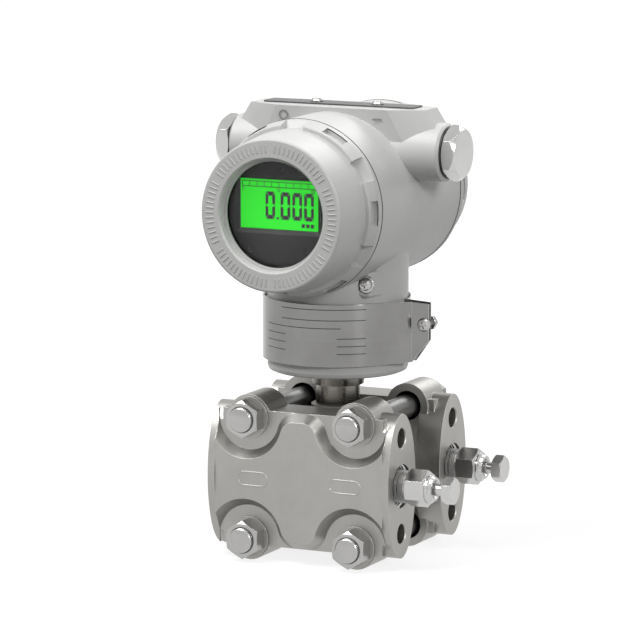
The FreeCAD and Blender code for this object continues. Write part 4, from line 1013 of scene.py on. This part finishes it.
floor_links.new(from_middle.outputs["Value"], glow_range.inputs["Value"])
floor_links.new(glow_range.outputs["Result"], floor_glow.inputs["Strength"])
lifted_floor = floor_nodes.new("ShaderNodeAddShader")
floor_links.new(floor_shader.outputs["BSDF"], lifted_floor.inputs[0])
floor_links.new(floor_glow.outputs["Emission"], lifted_floor.inputs[1])
white_for_looks(
    floor_nodes,
    floor_links,
    floor_shader.outputs["BSDF"],
    lifted_floor.outputs["Shader"],
    floor_nodes["Material Output"].inputs["Surface"],
)
floor_mesh.materials.append(pale_floor)

# Surround: an even white room for camera, gloss and glass, and a dim one for the soft
# light, so that the lamps keep their shadows.
world = bpy.data.worlds.new("surround")
scene.world = world
world.use_nodes = True
world.cycles.sampling_method = "NONE"
room_nodes, room_links = world.node_tree.nodes, world.node_tree.links
room = room_nodes["Background"]
room.inputs["Color"].default_value = (1, 1, 1, 1)
room.inputs["Strength"].default_value = 0.09
plain_white = room_nodes.new("ShaderNodeBackground")
plain_white.inputs["Color"].default_value = (1, 1, 1, 1)
plain_white.inputs["Strength"].default_value = 1
white_for_looks(
    room_nodes,
    room_links,
    room.outputs["Background"],
    plain_white.outputs["Background"],
    room_nodes["World Output"].inputs["Surface"],
)

# Lamps: a soft key from the upper left, one overhead, a small one from the right for the
# streak on the band, and one from behind for the upper edges.
aim_z = 70 * MM
aim = Vector((neck_x, 0, aim_z))
for name, azimuth, elevation, distance, size, power in (
    ("key_lamp", -42, 52, 1.7, 1.0, 25),
    ("top_lamp", 50, 74, 1.5, 0.8, 9),
    ("right_lamp", 62, 24, 1.7, 0.4, 10),
    ("rear_lamp", 175, 40, 1.7, 0.8, 8),
):
    turn, rise = math.radians(azimuth), math.radians(elevation)
    off = Vector((math.sin(turn) * math.cos(rise), -math.cos(turn) * math.cos(rise), math.sin(rise)))
    lamp = bpy.data.lights.new(name, "AREA")
    lamp.size = size
    lamp.energy = power
    lamp_object = bpy.data.objects.new(name, lamp)
    lamp_object.location = aim + off * distance
    lamp_object.rotation_euler = (-off).to_track_quat("-Z", "Y").to_euler()
    scene.collection.objects.link(lamp_object)

# Camera: where the photograph was taken from, a little above the display and to its
# right, with a long lens.
azimuth, elevation = math.radians(25.26), math.radians(9.10)
along = Vector(
    (
        -math.sin(azimuth) * math.cos(elevation),
        math.cos(azimuth) * math.cos(elevation),
        -math.sin(elevation),
    )
)
focal_pixels, picture_pixels, film_wide = 4380.15, 640, 36
camera_data = bpy.data.cameras.new("camera")
camera_data.sensor_width = film_wide
camera_data.lens = film_wide * focal_pixels / picture_pixels
camera_data.clip_end = 100
camera = bpy.data.objects.new("camera", camera_data)
camera.location = (0.83151, -1.69044, 0.36341)
camera.rotation_euler = along.to_track_quat("-Z", "Y").to_euler()
scene.collection.objects.link(camera)
scene.camera = camera
scene.view_settings.view_transform = "Standard"

bpy.context.view_layer.update()
